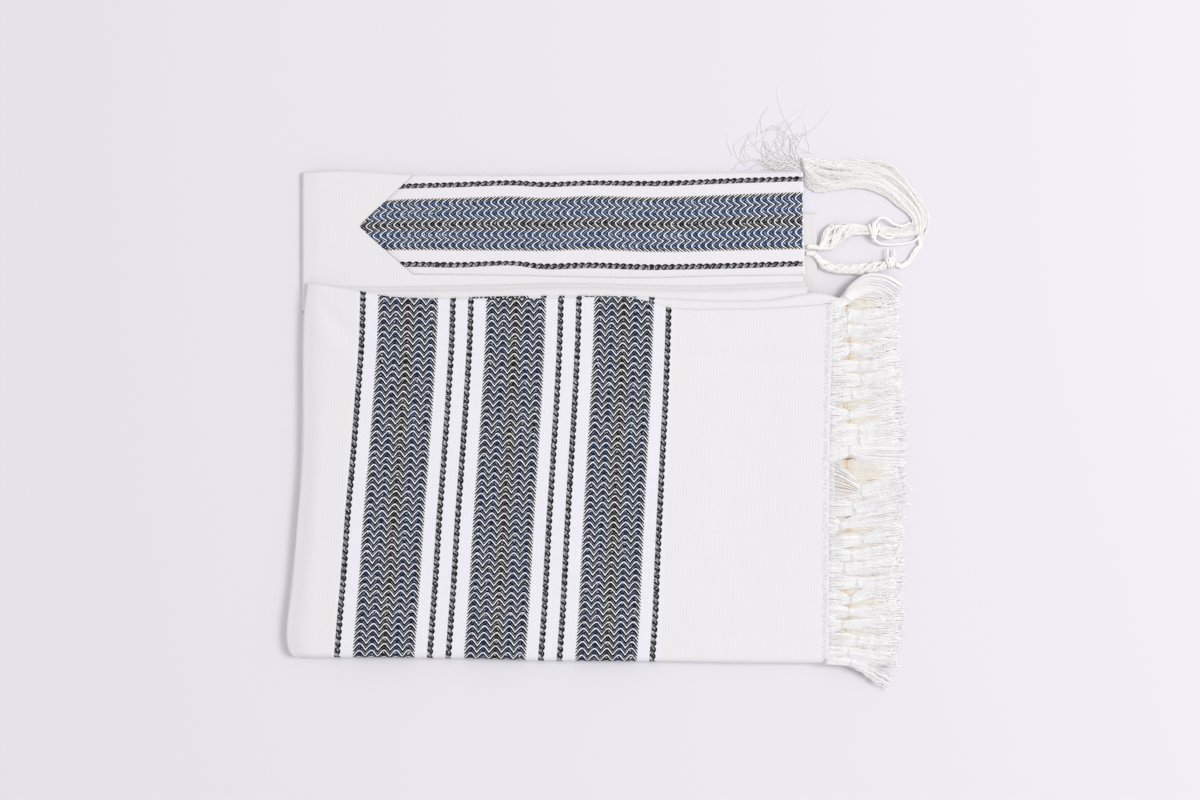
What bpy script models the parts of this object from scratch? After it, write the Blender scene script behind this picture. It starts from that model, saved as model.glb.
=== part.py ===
"""A prayer shawl folded flat: striped body cloth, neckband, knotted fringe and two corner tassels.

The cloth is folded end to end at the middle of the neckband, then in half again, and its lower half
is turned up once. That makes four layers in the upper strip and eight below it.

Design coordinates are millimetres: u runs right from the left fold, v runs up from the bottom fold
and z up from the table. The finished objects are in metres, moved to the centre of their base.
"""

import math

import bmesh
import bpy
from mathutils import Vector

MM = 0.001

# ---- driving dimensions, millimetres ----
CLOTH = 1.1  # wall of one layer of the body cloth
BAND = 0.9  # wall of the neckband
GAP = 0.3  # between neighbouring solids
PITCH = CLOTH + GAP  # from one layer to the next
JOIN_V = 333.0  # where the upper strip's layers meet the lower ones, under the turned-up half
TUCK_V = 334.5  # how far down the upper panel and the corner end reach under the turned-up half
EDGE_STEP = 7.0  # depth of the grooves between the layers at an edge
FOLD_STEPS = 6  # facets round a tight fold
TURN_STEPS = 8  # facets round the bottom fold
LOOSENESS = 0.05  # share by which the heap stands higher than its walls and gaps

# ---- heights of the layers, from the table up ----
UNDER_LOW = 0.0  # fringe end that lies on the table
UNDER_SECOND_LOW = PITCH  # the other fringe end
BAND_BACK_LOW = 2 * PITCH  # hidden half of the neckband
BACK_LOW = BAND_BACK_LOW + BAND + GAP  # back half of the upper strip
UPPER_LOW = BACK_LOW + PITCH
UPPER_TOP = UPPER_LOW + CLOTH
BAND_LOW = UPPER_TOP + GAP
INNER_LOW = UPPER_TOP + GAP
INNER_TOP_LOW = INNER_LOW + PITCH
SECOND_LOW = INNER_TOP_LOW + PITCH
FRONT_LOW = SECOND_LOW + PITCH
FRONT_TOP = FRONT_LOW + CLOTH
TURN_Z = FRONT_TOP / 2  # the bottom fold turns about this height
TURN_REACH = FRONT_TOP / 2  # outer radius of the bottom fold

# ---- plan outlines: each row is (place along the edge, place across it) ----
# u, v
TOP_EDGE = ((0, 467.5), (35, 469.3), (95, 466.0), (380, 467.5), (480, 468.5))
FRONT_UPPER_EDGE = (
    (5, 362), (26, 359), (58, 353.3), (84, 348.5), (112, 347), (218, 346.6), (323, 345.6),
    (350, 338.2), (408, 336.6), (448, 337.5), (495, 340.8), (511, 342.2),
)
SECOND_UPPER_EDGE = (
    (5, 352), (112, 345.5), (160, 348), (323, 348.3), (381, 345.2), (448, 345.6), (493, 352), (515, 346.6),
)
INNER_UPPER_EDGE = (
    (5, 362), (26, 359.5), (170, 359.5), (250, 361.4), (381, 359), (475, 362.5), (485, 362.5),
)
BOTTOM_EDGE = ((-15, 3.5), (107, 2.9), (170, 1.9), (218, 0), (343, -1.4), (430, -2.9), (515, -2.9))
BAND_LOWER_EDGE = ((55, 369.6), (108, 369.6), (205, 368.4), (320, 366.3), (400, 368), (480, 368.8))
# v, u
FRONT_LEFT_EDGE = (
    (3.4, -9.5), (9.4, -12.6), (19, -14.9), (77, -9.6), (134, -4.8), (192, -0.3), (336, 1.9), (362, 4.8),
)
LOWER_LEFT_EDGE = ((9.4, -12.2), (19, -13.8), (134, -4.4), (250, -0.8), (345, -0.5))
UPPER_LEFT_EDGE_U = -0.5
FRONT_RIGHT_EDGE = ((-3, 507.8), (5, 507.8), (250, 508.8), (346, 510.7))
SECOND_RIGHT_EDGE = ((-3, 508.4), (250, 510), (320, 511.5), (352, 515))
INNER_RIGHT_EDGE = ((-3, 483.4), (362, 483.4))
UPPER_RIGHT_EDGE = ((330, 481.8), (369, 481.2), (463, 479.2))  # of the neckband, outside the cloth
BAND_END = ((366, 109.5), (369.6, 107.5), (414.7, 55.2), (464.6, 104.6), (469, 109))
CORNER_RIGHT_EDGE = ((330, 493.4), (430, 493.0))
CORNER_TOP_V = 429.0
INNER_STEP = 3.5  # how far the second inner layer stops short of the first
INNER_CLEAR = 2.0  # from the inner layers to the ends of the left folds that go on as them
NEST_CLEAR = 0.6  # extra room between two left folds, one inside the other
BAND_EDGE_CLEAR = 0.6  # from the neckband to the cloth's edge
TURN_CLEAR = 1.2  # from the lower layers to the end of the bottom fold that goes on as them

# ---- soft rises and troughs of the heap: u, v, reach in u, reach in v, share of the height ----
SWELLS = (
    (30, 60, 70, 80, 0.05),
    (160, 190, 90, 120, -0.025),
    (330, 60, 110, 50, 0.03),
    (435, 288, 70, 12, -0.04),
    (440, 320, 80, 15, 0.03),
    (240, 418, 14, 60, 0.05),
    (400, 420, 60, 30, -0.02),
    (90, 420, 50, 40, 0.03),
)

# ---- fringe: v, inner u, tip u ----
FRINGE_ROWS = (
    (369, 537, 552), (362, 528, 564), (352, 521, 570), (340, 516, 571), (317, 512.5, 571),
    (278, 511.5, 576), (240, 510.6, 578), (202, 510.2, 579), (163, 509.8, 582), (125, 509.6, 576),
    (86, 509.5, 577), (48, 509.4, 578), (10, 509.3, 574), (-4, 509.3, 568), (-14, 535, 566), (-27, 560, 566),
)
# share across, height
FRINGE_ACROSS = ((0, 11.6), (0.12, 11.4), (0.3, 10.4), (0.55, 7.6), (0.8, 5.4), (1, 3.2))
FRINGE_END_SHARE = 0.45  # height of the first and last row's crown, to the middle rows'

# ---- tassels: centre points of each stretch, u, v ----
TASSEL_FLOOR = 0.2
WINDINGS_1 = ((498, 397.4), (504, 402.2), (511.7, 407.3), (520.3, 411.4), (530.9, 412.6), (542.1, 411.8))
KNOT_1 = (547.2, 411.8)
STRANDS_OUTER = (
    (552.3, 408.6), (563.5, 407), (578, 406.8), (590.4, 410), (598, 418.6), (596.6, 431), (589.4, 442.6),
    (580.8, 454), (571.2, 464.6), (559.7, 472.3), (544.3, 475.7), (527, 476.6), (509.8, 477.1), (494.4, 478),
    (478, 479.7),
)
STRANDS_INNER = (
    (552.3, 414.9), (563.5, 413.8), (576, 414.3), (584.6, 418.6), (583.7, 426.2), (575, 434), (564.5, 443.5),
    (552, 450.2), (536.6, 454), (520.3, 453.6), (504, 451.7), (493.4, 452.6), (486.8, 457), (484, 463.7),
    (482, 471.8),
)
WINDINGS_2 = (
    (498.2, 382), (504, 378.9), (513.6, 377), (525.1, 375.8), (536.6, 375.4), (548.2, 375.9), (558.2, 378),
)
KNOT_2 = (563, 381.2)
STRANDS_2 = ((568.4, 379.6), (574, 377.8), (579.8, 381.1), (584.6, 387.4), (588.9, 394.1), (591.8, 399.6))
TUFT_CENTRE = (450, 502)
TUFT_REACH = (35, 32, 4.4)
WINDINGS_1_THICK = 8.0
WINDINGS_2_THICK = 6.5
STRANDS_THICK = 6.0
STRANDS_2_THICK = 4.0
KNOT_REACH = (4.6, 8.5, 4.4)
KNOT_2_REACH = (4.2, 5.6, 3.6)

COLOURS = {  # base colour, roughness
    "body_cloth": ((0.83, 0.82, 0.84), 0.9),
    "neckband_cloth": ((0.24, 0.29, 0.42), 0.85),
    "fringe_yarn": ((0.84, 0.82, 0.77), 0.9),
    "tassel_string": ((0.86, 0.84, 0.78), 0.8),
}


# ---------------------------------------------------------------- geometry helpers
def mix(a, b, share):
    return a + (b - a) * share


def curve_at(rows, place):
    """Value at a place on the smooth curve through (place, value) rows, which run upwards."""
    if place <= rows[0][0]:
        return rows[0][1]
    if place >= rows[-1][0]:
        return rows[-1][1]
    k = max(i for i, row in enumerate(rows[:-1]) if row[0] <= place)
    span = rows[k + 1][0] - rows[k][0]
    rise = [(b[1] - a[1]) / (b[0] - a[0]) for a, b in zip(rows, rows[1:])]
    slope_in = (rise[k - 1] + rise[k]) / 2 if k else rise[0]
    slope_out = (rise[k] + rise[k + 1]) / 2 if k + 1 < len(rise) else rise[-1]
    t = (place - rows[k][0]) / span
    return (
        (2 * t**3 - 3 * t**2 + 1) * rows[k][1]
        + (t**3 - 2 * t**2 + t) * span * slope_in
        + (3 * t**2 - 2 * t**3) * rows[k + 1][1]
        + (t**3 - t**2) * span * slope_out
    )


def settled(u, v, z):
    """A design point with the heap's soft rises and troughs, which leave the underside flat."""
    rise = LOOSENESS
    for u0, v0, reach_u, reach_v, share in SWELLS:
        rise += share * math.exp(-(((u - u0) / reach_u) ** 2) - ((v - v0) / reach_v) ** 2)
    return (u, v, z * (1 + max(rise, 0)))


def steps(count):
    return [i / count for i in range(count + 1)]


def new_object(name, mesh, slot):
    obj = bpy.data.objects.new(name, mesh)
    mesh.materials.append(finish(slot))
    bpy.data.collections["Folded prayer shawl"].objects.link(obj)
    return obj


def finish(slot):
    """The Principled material of a slot, made the first time it is asked for."""
    if slot in bpy.data.materials:
        return bpy.data.materials[slot]
    colour, roughness = COLOURS[slot]
    material = bpy.data.materials.new(slot)
    material.use_nodes = True
    shader = material.node_tree.nodes["Principled BSDF"]
    shader.inputs["Base Color"].default_value = (*colour, 1)
    shader.inputs["Roughness"].default_value = roughness
    material.diffuse_color = (*colour, 1)
    return material


def in_metres(points):
    return [Vector(point) * MM for point in points]


def sheet(name, rows, wall, slot="body_cloth"):
    """A wall of cloth round its middle surface, which is given as rows of settled points."""
    count = len(rows[0])
    faces = [
        (r * count + c, r * count + c + 1, (r + 1) * count + c + 1, (r + 1) * count + c)
        for r in range(len(rows) - 1)
        for c in range(count - 1)
    ]
    mesh = bpy.data.meshes.new(name)
    mesh.from_pydata(in_metres(settled(*point) for row in rows for point in row), [], faces)
    obj = new_object(name, mesh, slot)
    solid = obj.modifiers.new("Wall", "SOLIDIFY")
    solid.thickness = wall * MM
    solid.offset = 0
    solid.use_even_offset = True
    solid.use_quality_normals = True
    return obj


def loft(name, rings, slot="body_cloth"):
    """A closed solid through rings of the same number of points, with a cap on each end."""
    count = len(rings[0])
    faces = [
        (r * count + c, r * count + (c + 1) % count, (r + 1) * count + (c + 1) % count, (r + 1) * count + c)
        for r in range(len(rings) - 1)
        for c in range(count)
    ]
    faces += [tuple(range(count)), tuple((len(rings) - 1) * count + c for c in range(count))]
    mesh = bpy.data.meshes.new(name)
    mesh.from_pydata(in_metres(settled(*point) for ring in rings for point in ring), [], faces)
    bm = bmesh.new()
    bm.from_mesh(mesh)
    bmesh.ops.recalc_face_normals(bm, faces=bm.faces)
    bmesh.ops.triangulate(bm, faces=[f for f in bm.faces if len(f.verts) > 4])
    bm.to_mesh(mesh)
    bm.free()
    return new_object(name, mesh, slot)


def round_turn(centre_u, centre_z, radius, side, count=FOLD_STEPS):
    """Points round a half circle, from its top down: side is -1 for a left fold and 1 for a right one."""
    angles = [math.pi * share for share in steps(count)]
    return [(centre_u + side * radius * math.sin(a), centre_z + radius * math.cos(a)) for a in angles]


# ---------------------------------------------------------------- the turned-up half
def turned_up_point(u, height, share):
    """A point of the turned-up half: share 0 to 1 runs up from the bottom fold, and -1 to 0 goes round it.

    height is the layer's middle above the fold's centre, which is its radius round the fold.
    """
    centre_v = curve_at(BOTTOM_EDGE, u) + TURN_REACH
    if share >= 0:
        return u, centre_v, TURN_Z + height
    angle = -share * math.pi
    return u, centre_v - height * math.sin(angle), TURN_Z + height * math.cos(angle)


def turned_up_sheet(name, upper_edge, profile_at):
    """A sheet of the turned-up half.

    profile_at gives its section at a v, as (u, middle height, how far its edge stops short).
    """
    rows = []
    for share in [-s for s in reversed(steps(TURN_STEPS))] + list(UP_ROWS):
        guide_v = turned_up_point(0, TURN_REACH, min(share, 0))[1]
        if share > 0:
            guide_v = mix(guide_v, FRONT_UPPER_EDGE[0][1], share)
        row = []
        for u, height, step in profile_at(guide_v):
            u, v, z = turned_up_point(u, height - TURN_Z, min(share, 0))
            if share > 0:
                v = mix(v, curve_at(upper_edge, u) - step, share)
            row.append((u, v, z))
        rows.append(row)
    return sheet(name, rows, CLOTH)


FRONT_MID = FRONT_LOW + CLOTH / 2
SECOND_MID = SECOND_LOW + CLOTH / 2
INNER_MID = INNER_LOW + CLOTH / 2
INNER_TOP_MID = INNER_TOP_LOW + CLOTH / 2
LEFT_TURN_Z = (FRONT_MID + INNER_MID) / 2
LEFT_TURN_OUTER = (FRONT_MID - INNER_MID) / 2 + CLOTH / 2
UP_ROWS = (0.025, 0.06, 0.14, 0.27, 0.42, 0.58, 0.74, 0.88, 1)  # shares up the turned-up half
ACROSS = (0.03, 0.08, 0.15, 0.23, 0.31, 0.39, 0.47, 0.55, 0.63, 0.71, 0.79, 0.86, 0.92, 0.97, 1)


def left_turn(v, top_mid, inset=0.0):
    """The left fold of a turned-up layer, from its top down to the layer that it goes on as."""
    centre_u = curve_at(FRONT_LEFT_EDGE, v) + LEFT_TURN_OUTER + inset
    radius = top_mid - LEFT_TURN_Z
    return centre_u, [(u, z, 0) for u, z in round_turn(centre_u, LEFT_TURN_Z, radius, -1)]


def front_profile(v):
    left_u, turn = left_turn(v, FRONT_MID)
    right_u = curve_at(FRONT_RIGHT_EDGE, v)
    return turn[::-1] + [(mix(left_u, right_u, share), FRONT_MID, 0) for share in ACROSS]


def second_profile(v):
    left_u, turn = left_turn(v, SECOND_MID, NEST_CLEAR)
    right_u = curve_at(SECOND_RIGHT_EDGE, v)
    return turn[::-1] + [(mix(left_u, right_u, share), SECOND_MID, 0) for share in ACROSS]


def inner_profile(v):
    """The two inner layers: along the upper one, round their right fold, and back along the lower one."""
    left_u = left_turn(v, SECOND_MID)[0] + INNER_CLEAR
    middle_z = (INNER_TOP_MID + INNER_MID) / 2
    radius = (INNER_TOP_MID - INNER_MID) / 2
    centre_u = curve_at(INNER_RIGHT_EDGE, v) - radius - CLOTH / 2
    along = [mix(left_u, centre_u, share) for share in (0, 0.12, 0.25, 0.38, 0.5, 0.62, 0.75, 0.87)]
    over = [(u, INNER_TOP_MID, INNER_STEP) for u in along]
    turn = round_turn(centre_u, middle_z, radius, 1)
    falls = steps(len(turn) - 1)
    fold = [(u, z, INNER_STEP * (1 - fall)) for (u, z), fall in zip(turn, falls)]
    under = [(u, INNER_MID, 0) for u in reversed(along)]
    return over + fold + under


# ---------------------------------------------------------------- the upper strip
def right_turn_u(v):
    """Centre of the right fold, about which the upper panel and the neckband both turn."""
    band_outer = (BAND_LOW - BAND_BACK_LOW + BAND) / 2
    return curve_at(UPPER_RIGHT_EDGE, v) - band_outer


UPPER_MID = UPPER_LOW + CLOTH / 2
BACK_MID = BACK_LOW + CLOTH / 2
UNDER_MID = UNDER_LOW + CLOTH / 2
RIGHT_TURN_Z = (UPPER_MID + BACK_MID) / 2
UPPER_LEFT_TURN_U = UPPER_LEFT_EDGE_U + (UPPER_MID - UNDER_MID) / 2 + CLOTH / 2
UPPER_ROWS = (0, 0.12, 0.3, 0.5, 0.7, 0.88, 1)  # shares up the upper panel
BAND_ROWS = (0, 0.035, 0.26, 0.46, 0.7, 0.965, 1)  # shares across the neckband
CORNER_ROWS = 3
HIDDEN_COLUMNS = 12
HIDDEN_TOP_V = (440, 410, 380, 355)  # places across the top of the upper strip's hidden layers
PAIR_FOLD_STEPS = 4


def build_upper_panel():
    rows = []
    left_turn_z = (UPPER_MID + UNDER_MID) / 2
    for share in UPPER_ROWS:
        guide_v = mix(TUCK_V, TOP_EDGE[0][1], share)
        right_u = right_turn_u(guide_v)
        section = round_turn(UPPER_LEFT_TURN_U, left_turn_z, UPPER_MID - left_turn_z, -1)[::-1]
        section += [(mix(UPPER_LEFT_TURN_U, right_u, s), UPPER_MID) for s in ACROSS[:-1]]
        section += round_turn(right_u, RIGHT_TURN_Z, (UPPER_MID - BACK_MID) / 2, 1)
        rows.append([(u, mix(TUCK_V, curve_at(TOP_EDGE, u), share), z) for u, z in section])
    return sheet("upper_panel", rows, CLOTH)


def build_neckband():
    """The neckband's upper half with its pointed end, and its turn round the right fold."""
    band_mid = BAND_LOW + BAND / 2
    radius = (band_mid - BAND_BACK_LOW - BAND / 2) / 2
    rows = []
    for share in BAND_ROWS:
        guide_v = mix(BAND_LOWER_EDGE[0][1], TOP_EDGE[0][1], share)
        left_u, right_u = curve_at(BAND_END, guide_v), right_turn_u(guide_v)
        section = [(mix(left_u, right_u, s), band_mid) for s in (0, 0.04, *ACROSS[1:-1])]
        section += round_turn(right_u, RIGHT_TURN_Z, radius, 1)
        row = []
        for u, z in section:
            upper_v = curve_at(TOP_EDGE, u) - BAND_EDGE_CLEAR
            row.append((u, mix(curve_at(BAND_LOWER_EDGE, u), upper_v, share), z))
        rows.append(row)
    return sheet("neckband", rows, BAND, "neckband_cloth")


def build_corner_end():
    """The fringed ends' corner, tucked back under itself just outside the right fold."""
    low, high = UNDER_MID, UNDER_SECOND_LOW + CLOTH / 2
    radius = (high - low) / 2
    rows = []
    for share in steps(CORNER_ROWS):
        v = mix(TUCK_V, CORNER_TOP_V, share)
        left_u, centre_u = right_turn_u(v), curve_at(CORNER_RIGHT_EDGE, v) - radius - CLOTH / 2
        over = [(mix(left_u, centre_u, s), high) for s in (0, 0.5)]
        under = [(u, low) for u, _ in reversed(over)]
        section = over + round_turn(centre_u, (low + high) / 2, radius, 1) + under
        rows.append([(u, v, z) for u, z in section])
    return sheet("corner_end", rows, CLOTH)


# ---------------------------------------------------------------- the hidden layers
def comb(layers):
    """Edge points of a stack of layers, from the bottom up: (inset, z), with a groove between each two."""
    points = []
    for k, (low, wall, inset) in enumerate(layers):
        if k:
            points.append((EDGE_STEP, low))
        points += [(inset, low), (inset, low + wall)]
        if k + 1 < len(layers):
            points.append((EDGE_STEP, low + wall))
    return points


def build_upper_hidden_layers():
    edge = comb((
        (UNDER_LOW, CLOTH, 2.2),
        (UNDER_SECOND_LOW, CLOTH, 0.8),
        (BAND_BACK_LOW, BAND, 1.2),
        (BACK_LOW, CLOTH, 1.6),
    ))
    top_z = BACK_LOW + CLOTH
    low_v = JOIN_V + GAP
    rings = []
    for share in steps(HIDDEN_COLUMNS):
        ring = [(low_v, 0.0)] + [(None, inset, z) for inset, z in edge]
        ring += [(v, top_z) for v in (*HIDDEN_TOP_V, low_v)]
        placed = []
        for point in ring:
            v, z = point[0], point[-1]
            left_u, right_u = UPPER_LEFT_TURN_U + GAP, right_turn_u(v or TOP_EDGE[0][1]) - GAP
            u = mix(left_u, right_u, share)
            placed.append((u, curve_at(TOP_EDGE, u) - point[1] if v is None else v, z))
        rings.append(placed)
    return loft("upper_hidden_layers", rings)


def build_lower_hidden_layers():
    """The four layers under the turned-up half: rounded at the left fold, layered at the fringe ends."""
    pair_fold = round_turn(0, (BACK_LOW + UPPER_TOP) / 2, (UPPER_TOP - BACK_LOW) / 2, 1, PAIR_FOLD_STEPS)
    ends = comb(((UNDER_LOW, CLOTH, 1.0), (UNDER_SECOND_LOW, CLOTH, 0.2)))
    rings = []
    for share in (0, *UP_ROWS):
        guide_v = mix(BOTTOM_EDGE[0][1] + TURN_REACH, JOIN_V, share)
        left_u = curve_at(LOWER_LEFT_EDGE, guide_v) + UPPER_TOP / 2
        fold_u = curve_at(INNER_RIGHT_EDGE, guide_v) - (UPPER_TOP - BACK_LOW)
        right_u = curve_at(FRONT_RIGHT_EDGE, guide_v)
        section = round_turn(left_u, UPPER_TOP / 2, UPPER_TOP / 2, -1)[::-1]
        section += [(mix(left_u, fold_u, s), UPPER_TOP) for s in ACROSS[:-1]]
        section += [(fold_u + u, z) for u, z in pair_fold]
        section += [(fold_u - EDGE_STEP, BACK_LOW), (fold_u - EDGE_STEP, ends[-1][1])]
        section += [(right_u - inset, z) for inset, z in reversed(ends)]
        section += [(mix(left_u, fold_u, s), UNDER_LOW) for s in reversed(ACROSS[:-1])]
        low_v = [curve_at(BOTTOM_EDGE, u) + TURN_REACH + TURN_CLEAR for u, _ in section]
        rings.append([(u, mix(low, JOIN_V, share), z) for (u, z), low in zip(section, low_v)])
    return loft("lower_hidden_layers", rings)


# ---------------------------------------------------------------- fringe and tassels
def build_fringe():
    rings = []
    for k, (v, inner_u, tip_u) in enumerate(FRINGE_ROWS):
        crown = FRINGE_END_SHARE if k in (0, len(FRINGE_ROWS) - 1) else 1
        over = [(mix(inner_u, tip_u, s), v, z * crown) for s, z in FRINGE_ACROSS]
        rings.append([(inner_u, v, 0)] + over + [(tip_u, v, 0)])
    return loft("fringe", rings, "fringe_yarn")


def smooth_route(points, spacing):
    """Points about spacing apart on the smooth curve through a route's own points."""
    ends = [points[0], *points, points[-1]]
    route = []
    for a, b, c, d in zip(ends, ends[1:], ends[2:], ends[3:]):
        a, b, c, d = (Vector(p) for p in (a, b, c, d))
        count = max(1, round((c - b).length / spacing))
        square = 2 * a - 5 * b + 4 * c - d
        cube = 3 * b - 3 * c + d - a
        for k in range(count):
            t = k / count
            route.append(0.5 * (2 * b + (c - a) * t + square * t**2 + cube * t**3))
    return route + [Vector(points[-1])]


def tube(name, route, thick):
    """A plain round tube lying on the table along a route."""
    curve = bpy.data.curves.new(name, "CURVE")
    curve.dimensions = "3D"
    curve.bevel_depth = thick / 2 * MM
    curve.bevel_resolution = 2
    curve.use_fill_caps = True
    points = smooth_route(route, 1.4 * thick)
    spline = curve.splines.new("POLY")
    spline.points.add(len(points) - 1)
    for spot, point in zip(spline.points, points):
        spot.co = (point.x * MM, point.y * MM, (TASSEL_FLOOR + thick / 2) * MM, 1)
    return new_object(name, curve, "tassel_string")


def rounded_lump(name, centre, reach):
    """A closed egg shape of the given half sizes, lying on the table."""
    mesh = bpy.data.meshes.new(name)
    bm = bmesh.new()
    bmesh.ops.create_uvsphere(bm, u_segments=12, v_segments=8, radius=1)
    bmesh.ops.scale(bm, vec=Vector(reach) * MM, verts=bm.verts)
    bmesh.ops.translate(bm, vec=Vector((*centre, TASSEL_FLOOR + reach[2])) * MM, verts=bm.verts)
    bm.to_mesh(mesh)
    bm.free()
    return new_object(name, mesh, "tassel_string")


def build_tassels():
    tube("tassel_1_windings", WINDINGS_1, WINDINGS_1_THICK)
    rounded_lump("tassel_1_knot", KNOT_1, KNOT_REACH)
    tube("tassel_1_strands_outer", STRANDS_OUTER, STRANDS_THICK)
    tube("tassel_1_strands_inner", STRANDS_INNER, STRANDS_THICK)
    tube("tassel_2_windings", WINDINGS_2, WINDINGS_2_THICK)
    rounded_lump("tassel_2_knot", KNOT_2, KNOT_2_REACH)
    tube("tassel_2_strands", STRANDS_2, STRANDS_2_THICK)
    rounded_lump("tassel_tuft", TUFT_CENTRE, TUFT_REACH)


# ---------------------------------------------------------------- whole object
def centre_on_base(objects):
    """Moves everything so that the middle of the cloth and fringe's base is the origin."""
    bpy.context.view_layer.update()
    depsgraph = bpy.context.evaluated_depsgraph_get()
    corners = [
        Vector(vertex.co)
        for obj in objects
        if not obj.name.startswith("tassel")
        for vertex in obj.evaluated_get(depsgraph).data.vertices
    ]
    low = Vector(min(c[k] for c in corners) for k in range(3))
    high = Vector(max(c[k] for c in corners) for k in range(3))
    shift = Vector((-(low.x + high.x) / 2, -(low.y + high.y) / 2, -low.z))
    for obj in objects:
        obj.location = shift
    print("shift to the base's centre, mm:", [round(c / MM, 4) for c in shift])


def main():
    for obj in list(bpy.data.objects):
        bpy.data.objects.remove(obj)
    parts = bpy.data.collections.new("Folded prayer shawl")
    bpy.context.scene.collection.children.link(parts)
    build_lower_hidden_layers()
    build_upper_hidden_layers()
    build_upper_panel()
    build_neckband()
    build_corner_end()
    turned_up_sheet("inner_layers", INNER_UPPER_EDGE, inner_profile)
    turned_up_sheet("second_layer", SECOND_UPPER_EDGE, second_profile)
    turned_up_sheet("front_panel", FRONT_UPPER_EDGE, front_profile)
    build_fringe()
    build_tassels()
    centre_on_base(list(parts.objects))


main()
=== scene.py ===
"""The finish of a prayer shawl that is folded flat: its cloth, neckband, fringe and two corner tassels.

Design coordinates are millimetres: u runs right from the left fold, v runs up from the bottom fold and
z up from the table. place() turns them into the frame's metres.

The cloth's own coordinates are its UV map named Weave, in metres: across the stripes and along them.
"""

import math
import random

import bpy
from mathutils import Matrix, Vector, noise


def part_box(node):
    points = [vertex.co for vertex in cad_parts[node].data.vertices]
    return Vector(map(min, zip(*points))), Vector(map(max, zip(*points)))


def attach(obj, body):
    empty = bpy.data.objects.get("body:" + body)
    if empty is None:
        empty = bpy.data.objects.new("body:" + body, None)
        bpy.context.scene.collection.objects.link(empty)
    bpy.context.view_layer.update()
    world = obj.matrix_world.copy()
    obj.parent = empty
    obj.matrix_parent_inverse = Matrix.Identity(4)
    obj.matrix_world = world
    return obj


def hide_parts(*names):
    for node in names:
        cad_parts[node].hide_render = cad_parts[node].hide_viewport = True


bl_info = {
    "name": "Folded prayer shawl",
    "version": (1, 0, 0),
    "blender": (4, 5, 0),
    "location": "3D View > Sidebar > Shawl",
    "description": "Makes a folded prayer shawl with its stripes, neckband, fringe and tassels",
    "category": "Add Mesh",
}

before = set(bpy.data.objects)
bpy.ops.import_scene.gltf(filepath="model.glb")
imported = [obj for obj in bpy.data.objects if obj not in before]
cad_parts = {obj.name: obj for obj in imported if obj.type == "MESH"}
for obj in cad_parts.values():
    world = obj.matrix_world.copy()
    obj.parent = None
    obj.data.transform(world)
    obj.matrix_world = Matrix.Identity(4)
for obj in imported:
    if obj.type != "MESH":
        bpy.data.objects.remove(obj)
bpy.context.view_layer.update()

MM = 0.001
WEAVE_MAP = "Weave"
SEED = 11

# ---- heights of the layers' middles above the table, millimetres ----
WALL = 1.1
GAP = 0.3
PITCH = WALL + GAP  # from one layer to the next
BAND_WALL = 0.9
UNDER_MID = WALL / 2
UNDER_SECOND_MID = UNDER_MID + PITCH
BAND_BACK_MID = 2 * PITCH + BAND_WALL / 2
BACK_MID = 2 * PITCH + BAND_WALL + GAP + WALL / 2
UPPER_MID = BACK_MID + PITCH
BAND_MID = UPPER_MID + WALL / 2 + GAP + BAND_WALL / 2
INNER_MID = UPPER_MID + PITCH
INNER_TOP_MID = INNER_MID + PITCH
SECOND_MID = INNER_TOP_MID + PITCH
FRONT_MID = SECOND_MID + PITCH
FRONT_TOP = FRONT_MID + WALL / 2
TURN_Z = FRONT_TOP / 2  # the bottom fold turns about this height
TURN_REACH = FRONT_TOP / 2
TURN_STEPS = 12  # facets round a fold
LOOSENESS = 0.05  # share by which the heap stands higher than its walls and gaps
LEFT_DROOP = 0.30  # share of its height that the heap loses at the left fold
LEFT_REACH = 10.5  # over which it loses that

# ---- plan outlines: each row is (place along the edge, place across it) ----
# u, v
TOP_EDGE = ((0, 467.5), (35, 469.3), (95, 466.0), (380, 467.5), (480, 468.5))
FRONT_UPPER_EDGE = (
    (5, 362), (26, 359), (58, 353.3), (84, 348.5), (112, 347), (218, 346.6), (323, 345.6),
    (350, 338.2), (408, 336.6), (448, 337.5), (495, 340.8), (511, 342.2),
)
SECOND_UPPER_EDGE = (
    (5, 352), (112, 345.5), (160, 348), (323, 348.3), (381, 345.2), (448, 345.6), (493, 352), (515, 346.6),
)
INNER_UPPER_EDGE = (
    (5, 362), (26, 359.5), (170, 359.5), (250, 361.4), (381, 359), (475, 362.5), (485, 362.5),
)
BOTTOM_EDGE = ((-15, 3.5), (107, 2.9), (170, 1.9), (218, 0.4), (343, -0.7), (430, -2.1), (515, -2.5))
BAND_LOWER_EDGE = ((55, 369.6), (108, 369.6), (205, 368.4), (320, 366.3), (400, 368), (480, 368.8))
# v, u
FRONT_LEFT_EDGE = (
    (3.4, -9.5), (9.4, -12.6), (19, -14.9), (77, -9.6), (134, -4.8), (192, -0.3), (336, 1.9), (362, 4.8),
)
LOWER_LEFT_EDGE = ((9.4, -12.2), (19, -13.8), (134, -4.4), (250, -0.8), (345, -0.5))
UPPER_LEFT_EDGE_U = -0.5
FRONT_RIGHT_EDGE = ((-3, 503.6), (5, 503.6), (250, 504.8), (346, 507.4))
SECOND_RIGHT_EDGE = ((-3, 508.4), (250, 510), (320, 511.5), (352, 515))
INNER_RIGHT_EDGE = ((-3, 483.4), (362, 483.4))
UPPER_RIGHT_EDGE = ((330, 481.8), (369, 481.2), (463, 479.2))
CORNER_RIGHT_EDGE = ((330, 493.4), (430, 493.0))
CORNER_TOP_V = 429.0
TUCK_V = 334.5  # how far down the upper panel and the corner end reach under the turned-up half
JOIN_V = 333.0  # where the upper strip's layers meet the lower ones
INNER_STEP = 3.5  # how far the second inner layer stops short of the first
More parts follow.
